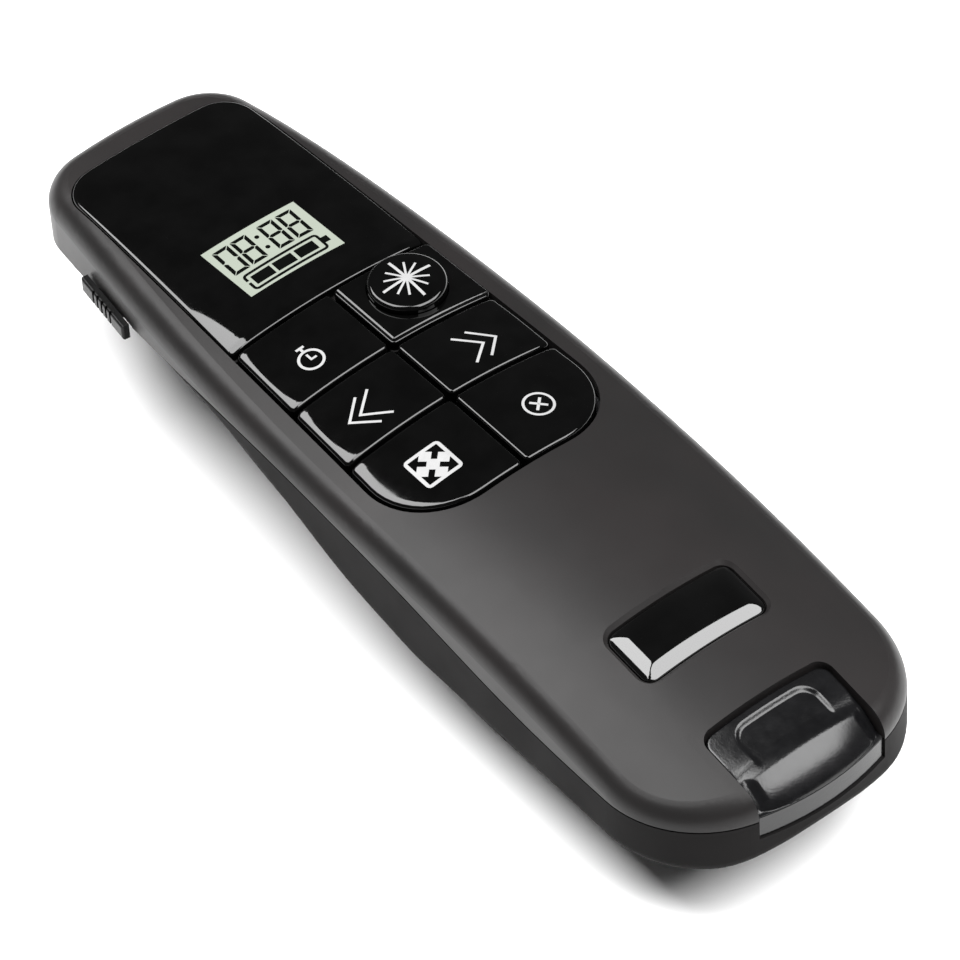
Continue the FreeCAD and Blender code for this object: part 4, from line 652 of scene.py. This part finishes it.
def quarter(distance, width, drop):
    """How far a rounded edge has dropped at a distance from it."""
    if distance >= width:
        return 0.0
    share = 1 - max(distance, 0.0) / width
    return drop * (1 - math.sqrt(max(0.0, 1 - share * share)))


def swell_drop(distance):
    """Long arc of the tail, which ends in a small rounded edge."""
    reach = max(0.0, SWELL_REACH - distance)
    arc = SWELL_RADIUS - math.sqrt(SWELL_RADIUS ** 2 - reach ** 2)
    return arc + quarter(distance, TAIL_EDGE_WIDTH, TAIL_EDGE_DROP)


def receiver_top(x, y):
    """Top of the receiver: a swell at the tail, a shelf that is sunk in front
    of it and beside it, and the finger hollow."""
    z = crown(x, y) - RECEIVER_SUNK
    z -= swell_drop(receiver_tail(x, y))
    z -= quarter(receiver_side(x, y), SIDE_EDGE, SIDE_EDGE)
    front = smooth_step(y, SHELF_REAR, SHELF_FRONT)
    flank = smooth_step(abs(x), FLANK_INNER, FLANK_OUTER) * (1 - front)
    z -= SHELF_DROP * max(front, flank * FLANK_SHARE)
    inside = smooth_step(stadium(x, y), HOLLOW_EDGE_LOW, HOLLOW_EDGE_HIGH)
    z -= HOLLOW_DROP * inside * smooth_step(y, HOLLOW_FADE_LOW, HOLLOW_FADE_HIGH)
    return z


def receiver_outline():
    """Points round the receiver, from its front right corner over the left."""
    half, front = RECEIVER_HALF_WIDTH, RECEIVER_FRONT
    inner_x, inner_y = half - RECEIVER_CORNER, front - RECEIVER_CORNER
    front_steps, side_steps, tail_steps = 48, 30, 60
    tail_y = TAIL_CENTRE[1]
    meet_y = tail_y - math.sqrt(RECEIVER_TAIL_RADIUS ** 2 - half * half)
    corner_turns = [11.25 * step for step in range(9)]
    points = [around((inner_x, inner_y), RECEIVER_CORNER, turn) for turn in corner_turns]
    points += [(inner_x - 2 * inner_x * step / front_steps, front)
               for step in range(1, front_steps)]
    points += [around((-inner_x, inner_y), RECEIVER_CORNER, 90 + turn) for turn in corner_turns]
    points += [(-half, inner_y + (meet_y - inner_y) * step / side_steps)
               for step in range(1, side_steps)]
    for step in range(tail_steps + 1):
        x = -half + 2 * half * step / tail_steps
        points.append((x, tail_y - math.sqrt(RECEIVER_TAIL_RADIUS ** 2 - x * x)))
    points += [(half, meet_y + (inner_y - meet_y) * step / side_steps)
               for step in range(1, side_steps)]
    return points


def make_receiver():
    """Cover of the receiver: rings that close in on the finger hollow."""
    outline = receiver_outline()
    seam = node_low("receiver_cover")
    rings = [[(x, y, seam) for x, y in outline]]
    for step in range(RECEIVER_RINGS):
        share = 1 - (step / RECEIVER_RINGS) ** 1.5
        ring = []
        for x, y in outline:
            px = x * share
            py = HOLLOW_Y + (y - HOLLOW_Y) * share
            ring.append((px, py, max(receiver_top(px, py), seam + 0.05)))
        rings.append(ring)
    vertices, faces = close_rings(rings, (0, HOLLOW_Y, receiver_top(0, HOLLOW_Y)))
    piece = add_mesh("receiver_cap", vertices, faces, "receiver_black", "receiver", 50)
    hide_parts("receiver_cover")


# Display and printed marks

INK_LIFT = 0.012
TILE_ARROW_LIFT = 0.022
FIGURE_LIFT = 0.024
SPLIT_PASSES = 5


def flat_shape(name, outlines, surface, lift, slot, body, cell=0.5):
    """A thin printed shape that follows a surface, from closed outlines."""
    work = bmesh.new()
    for outline in outlines:
        corners = [work.verts.new((x, y, 0)) for x, y in outline]
        work.faces.new(corners)
    bmesh.ops.triangulate(work, faces=work.faces[:])
    for _ in range(SPLIT_PASSES):
        long_edges = [edge for edge in work.edges if edge.calc_length() > cell]
        if long_edges:
            bmesh.ops.subdivide_edges(work, edges=long_edges, cuts=1)
            bmesh.ops.triangulate(work, faces=work.faces[:])
    for vertex in work.verts:
        vertex.co.z = surface(vertex.co.x, vertex.co.y) + lift
        vertex.co *= MM
    bmesh.ops.recalc_face_normals(work, faces=work.faces)
    for face in work.faces:
        if face.normal.z < 0:
            face.normal_flip()
    mesh = bpy.data.meshes.new(name)
    work.to_mesh(mesh)
    work.free()
    for polygon in mesh.polygons:
        polygon.use_smooth = True
    return place_piece(name, mesh, slot, body)


def stroke(start, end, width):
    """Outline of a straight line with square ends."""
    start, end = Vector(start), Vector(end)
    along = (end - start).normalized()
    across = Vector((-along.y, along.x)) * (width / 2)
    return [tuple(start - across), tuple(end - across), tuple(end + across), tuple(start + across)]


def polyline(points, width):
    """Outline of a line through points, mitred where it bends."""
    left, right = [], []
    last = len(points) - 1
    for index, point in enumerate(points):
        here = Vector(point)
        before = (here - Vector(points[index - 1])).normalized() if index else None
        after = (Vector(points[index + 1]) - here).normalized() if index < last else None
        along = before or after
        across = Vector((-along.y, along.x))
        scale = 1.0
        if before and after:
            other = Vector((-after.y, after.x))
            across = (across + other).normalized()
            scale = 1 / max(0.3, across.dot(Vector((-before.y, before.x))))
        left.append(tuple(here + across * width / 2 * scale))
        right.append(tuple(here - across * width / 2 * scale))
    return right + left[::-1]


def circle_band(centre, radius, width, start=0, end=360, steps=40):
    """Quads of a ring or an arc."""
    inner, outer = radius - width / 2, radius + width / 2
    bands = []
    for index in range(steps):
        a = start + (end - start) * index / steps
        b = start + (end - start) * (index + 1) / steps
        quad = ((inner, a), (outer, a), (outer, b), (inner, b))
        bands.append([around(centre, distance, turn) for distance, turn in quad])
    return bands


def rounded_box(low_x, high_x, low_y, high_y, radius):
    corners = [(high_x, low_y), (high_x, high_y), (low_x, high_y), (low_x, low_y)]
    return rounded_outline(corners, [radius] * 4, 0, 5.0, 5)


DIGIT_WIDTH, DIGIT_HEIGHT, DIGIT_LINE, DIGIT_GAP = 2.22, 4.66, 0.48, 0.07
DIGIT_Y = 32.22
DIGITS = ((-6.37, "abcdef"), (-3.82, "abcdefg"), (-0.01, "abcdefg"), (2.66, "abcdefg"))
COLON_X, COLON_HEIGHTS, COLON_RADIUS = -0.82, (33.44, 35.56), 0.3
CHARGE_BAR_LEFTS, CHARGE_BAR_WIDTH = (-5.25, -2.20, 0.91), 2.68
CHARGE_BAR_LOW, CHARGE_BAR_HIGH = 29.41, 30.95
CHARGE_STUB = (4.55, 5.42, 29.68, 30.68)
PANEL_CORNERS = ((-7.00, 28.36), (6.28, 28.22), (5.96, 37.66), (-7.30, 37.72))


def plain_box(low_x, high_x, low_y, high_y):
    return [(low_x, low_y), (high_x, low_y), (high_x, high_y), (low_x, high_y)]


def seven_segments(x, y, lit):
    """Outlines of the lit bars of one digit, lower left corner at x, y."""
    line, gap = DIGIT_LINE, DIGIT_GAP
    right, top, middle = x + DIGIT_WIDTH, y + DIGIT_HEIGHT, y + DIGIT_HEIGHT / 2
    bars = {
        "a": [(x + gap, top), (right - gap, top), (right - line - gap, top - line),
              (x + line + gap, top - line)],
        "b": [(right, top - gap), (right, middle + gap), (right - line / 2, middle + gap),
              (right - line, middle + line / 2 + gap), (right - line, top - line - gap)],
        "c": [(right, y + gap), (right - line, y + line + gap),
              (right - line, middle - line / 2 - gap), (right - line / 2, middle - gap),
              (right, middle - gap)],
        "d": [(x + gap, y), (x + line + gap, y + line), (right - line - gap, y + line),
              (right - gap, y)],
        "e": [(x, y + gap), (x, middle - gap), (x + line / 2, middle - gap),
              (x + line, middle - line / 2 - gap), (x + line, y + line + gap)],
        "f": [(x, top - gap), (x + line, top - line - gap), (x + line, middle + line / 2 + gap),
              (x + line / 2, middle + gap), (x, middle + gap)],
        "g": [(x + line / 2 + gap, middle), (x + line + gap, middle + line / 2),
              (right - line - gap, middle + line / 2), (right - line / 2 - gap, middle),
              (right - line - gap, middle - line / 2), (x + line + gap, middle - line / 2)],
    }
    return [bars[name] for name in lit]


def gauge_outline():
    """Lines of the charge gauge: a rounded frame with a break in its left side."""
    low_y, high_y, left_x, right_x = 28.88, 31.48, -5.85, 4.44
    bend, line = 0.42, 0.36
    break_low, break_high = 30.2, 30.53
    lines = [stroke(start, end, line) for start, end in (
        ((left_x + bend, high_y), (right_x - bend, high_y)),
        ((left_x + bend, low_y), (right_x - bend, low_y)),
        ((right_x, high_y - bend), (right_x, low_y + bend)),
        ((left_x, high_y - bend), (left_x, break_high)),
        ((left_x, break_low), (left_x, low_y + bend)),
    )]
    for centre, start in (
        ((right_x - bend, high_y - bend), 0), ((left_x + bend, high_y - bend), 90),
        ((left_x + bend, low_y + bend), 180), ((right_x - bend, low_y + bend), 270),
    ):
        lines += circle_band(centre, bend, line, start, start + 90, 6)
    return lines


def make_display():
    """Pale panel with plain digits and a charge gauge. It is drawn just above
    the lens, because it shows through the gloss as if it lay there."""
    flat_shape("display_panel", [PANEL_CORNERS], lens_top, INK_LIFT, "display_panel", "housing", 1.0)
    lit = []
    for x, bars in DIGITS:
        lit += seven_segments(x, DIGIT_Y, bars)
    for y in COLON_HEIGHTS:
        lit.append([around((COLON_X, y), COLON_RADIUS, turn) for turn in range(0, 360, 30)])
    for x in CHARGE_BAR_LEFTS:
        lit.append(plain_box(x, x + CHARGE_BAR_WIDTH, CHARGE_BAR_LOW, CHARGE_BAR_HIGH))
    lit += gauge_outline()
    lit.append(plain_box(*CHARGE_STUB))
    flat_shape("display_figures", lit, lens_top, FIGURE_LIFT, "display_ink", "housing", 1.0)


def make_laser_mark():
    """Burst of twelve rays round a dot, four of them longer."""
    ray_start, dot = 0.4, 0.42
    rays = []
    for index in range(12):
        length, width = (3.35, 0.36) if index % 3 == 0 else (2.65, 0.27)
        start, end = (around(LASER_CENTRE, reach, 30 * index) for reach in (ray_start, length))
        rays.append(stroke(start, end, width))
    rays.append([around(LASER_CENTRE, dot, turn) for turn in range(0, 360, 20)])
    flat_shape("laser_mark", rays, laser_top, INK_LIFT, "key_ink", "laser")


CHEVRON_LINE = 0.32
CHEVRONS = (
    ("previous_mark", (((-7.89, 7.83), (-10.6, 5.35), (-7.92, 2.92)),
                       ((-6.2, 7.83), (-9.06, 5.35), (-6.1, 3.07)))),
    ("next_mark", (((5.65, 7.78), (8.2, 5.11), (5.6, 2.93)),
                   ((7.6, 7.75), (10.0, 5.15), (7.65, 2.87)))),
)


def make_chevrons():
    """Double chevrons, to the left and to the right."""
    for name, points in CHEVRONS:
        lines = [polyline(line, CHEVRON_LINE) for line in points]
        flat_shape(name, lines, key_top, INK_LIFT, "key_ink", name.split("_")[0])


def make_full_screen_mark():
    """Light tile with four dark arrows that point to its corners."""
    centre_x, centre_y, half = -7.7, -6.08, 2.5
    tile = rounded_box(centre_x - half, centre_x + half, centre_y - half, centre_y + half, 0.6)
    flat_shape("full_screen_mark", [tile], key_top, INK_LIFT, "key_ink", "full_screen")
    tip, tail, half_shaft, head = 2.9, 0.75, 0.36, 1.15
    shape = [(tip, 0), (tip - head, head), (tip - head, half_shaft), (tail, half_shaft),
             (tail, -half_shaft), (tip - head, -half_shaft), (tip - head, -head)]
    arrows = []
    for sx, sy in ((1, 1), (-1, 1), (-1, -1), (1, -1)):
        arrow = [(centre_x + sx * (along - across) / math.sqrt(2),
                  centre_y + sy * (along + across) / math.sqrt(2)) for along, across in shape]
        arrows.append(arrow if sx * sy > 0 else arrow[::-1])
    flat_shape("full_screen_arrows", arrows, key_top, TILE_ARROW_LIFT, "gloss_black", "full_screen")


def make_clock_mark():
    """Plain stop clock: ring, two hands, stem and button."""
    x, y = -7.9, 15.9
    line, hand = 0.34, 0.28
    shapes = circle_band((x, y), 1.45, line)
    shapes += [stroke((x, y - 0.05), (x, y + 0.95), hand),
               stroke((x - 0.1, y), (x + 0.75, y), hand),
               stroke((x, y + 1.55), (x, y + 2.1), line),
               stroke((x - 0.55, y + 2.2), (x + 0.55, y + 2.2), line)]
    flat_shape("timer_mark", shapes, key_top, INK_LIFT, "key_ink", "timer")


def make_close_mark():
    """Plain closing cross in a ring."""
    x, y = 6.8, -6.6
    radius, arm, line = 1.75, 0.75, 0.34
    shapes = circle_band((x, y), radius, 0.32)
    shapes += [stroke((x - arm, y - arm), (x + arm, y + arm), line),
               stroke((x - arm, y + arm), (x + arm, y - arm), line)]
    flat_shape("escape_mark", shapes, key_top, INK_LIFT, "key_ink", "escape")


# Camera, floor and light

CAMERA_AZIMUTH, CAMERA_ELEVATION, CAMERA_ROLL = -35.36, 46.8, 4.08
CAMERA_DISTANCE = 679.78
CAMERA_SHIFT_RIGHT, CAMERA_SHIFT_DOWN = 17.16, 21.7
CAMERA_TARGET = (0, 23, 25)
LENS_MM, SENSOR_MM = 225, 36


def make_camera():
    """Camera at the photograph's angle, fitted to the outline of the body."""
    azimuth = math.radians(CAMERA_AZIMUTH)
    elevation = math.radians(CAMERA_ELEVATION)
    roll = math.radians(CAMERA_ROLL)
    level = math.cos(elevation)
    right = Vector((math.cos(azimuth), math.sin(azimuth), 0))
    back = Vector((math.sin(azimuth) * level, -math.cos(azimuth) * level, math.sin(elevation)))
    up = back.cross(right)
    across = right * math.cos(roll) - up * math.sin(roll)
    upward = right * math.sin(roll) + up * math.cos(roll)
    spot = (back * CAMERA_DISTANCE + across * CAMERA_SHIFT_RIGHT - upward * CAMERA_SHIFT_DOWN
            + Vector(CAMERA_TARGET))
    matrix = Matrix.Identity(4)
    for row in range(3):
        matrix[row][0] = across[row]
        matrix[row][1] = upward[row]
        matrix[row][2] = back[row]
        matrix[row][3] = spot[row] * MM
    data = bpy.data.cameras.new("photo_camera")
    data.lens = LENS_MM
    data.sensor_width = SENSOR_MM
    data.clip_start = 0.01
    data.clip_end = 20
    camera = bpy.data.objects.new("photo_camera", data)
    camera.matrix_world = matrix
    bpy.context.collection.objects.link(camera)
    bpy.context.scene.camera = camera


def make_floor():
    mesh = bpy.data.meshes.new("floor")
    mesh.from_pydata([(-3, -3, 0), (3, -3, 0), (3, 3, 0), (-3, 3, 0)], [], [(0, 1, 2, 3)])
    floor = bpy.data.objects.new("floor", mesh)
    bpy.context.collection.objects.link(floor)
    # Matt seamless paper: white, with pulp fibres of a few millimetres.
    paper = make_finish("white_paper", ("#F9F9F9", "#FBFBFB"), 25, (0.88, 0.92), 10,
                        2.0, 0.002, IOR=1.5)
    floor.data.materials.append(paper)


def hang_softbox(name, place, width, length, power):
    """Rectangular softbox that shines straight down. Sizes in metres."""
    data = bpy.data.lights.new(name, "AREA")
    data.shape = "RECTANGLE"
    data.size = width
    data.size_y = length
    data.energy = power
    light = bpy.data.objects.new(name, data)
    light.location = place
    bpy.context.collection.objects.link(light)


def make_world(strength):
    """Even white light from all round, which fills the shadows a little."""
    world = bpy.data.worlds.new("studio")
    bpy.context.scene.world = world
    world.use_nodes = True
    background = world.node_tree.nodes["Background"]
    background.inputs["Color"].default_value = (1, 1, 1, 1)
    background.inputs["Strength"].default_value = strength


# The CAD pieces keep their shape and take the finish of their slot.
for part in frame["record"]["subparts"]:
    mesh = nodes[part["node"]].data
    mesh.materials.clear()
    mesh.materials.append(FINISHES[part["material_slot"]])
    smooth_by_angle(mesh, CAD_SHARP_DEGREES)
# The lower shell and the battery door wear a darker copy of the housing finish, which is painted shade.
for shell in ("bottom_case", "battery_door"):
    nodes[shell].data.materials[0] = FINISHES["shaded_lower_shell"]

for key in KEYS:
    make_key(*key)
make_laser_key()
make_laser_panel()
make_lens()
make_badge()
make_receiver()
make_display()
make_laser_mark()
make_chevrons()
make_full_screen_mark()
make_clock_mark()
make_close_mark()

make_camera()
make_floor()
make_world(0.08)
hang_softbox("front_softbox", (-0.22, 0.54, 0.9), 0.55, 1.08, 22)
hang_softbox("overhead_softbox", (0.45, -0.535, 0.9), 1.0, 0.87, 30)
# The photograph stands on pure white: this view leaves the floor white.
bpy.context.scene.view_settings.view_transform = "Standard"
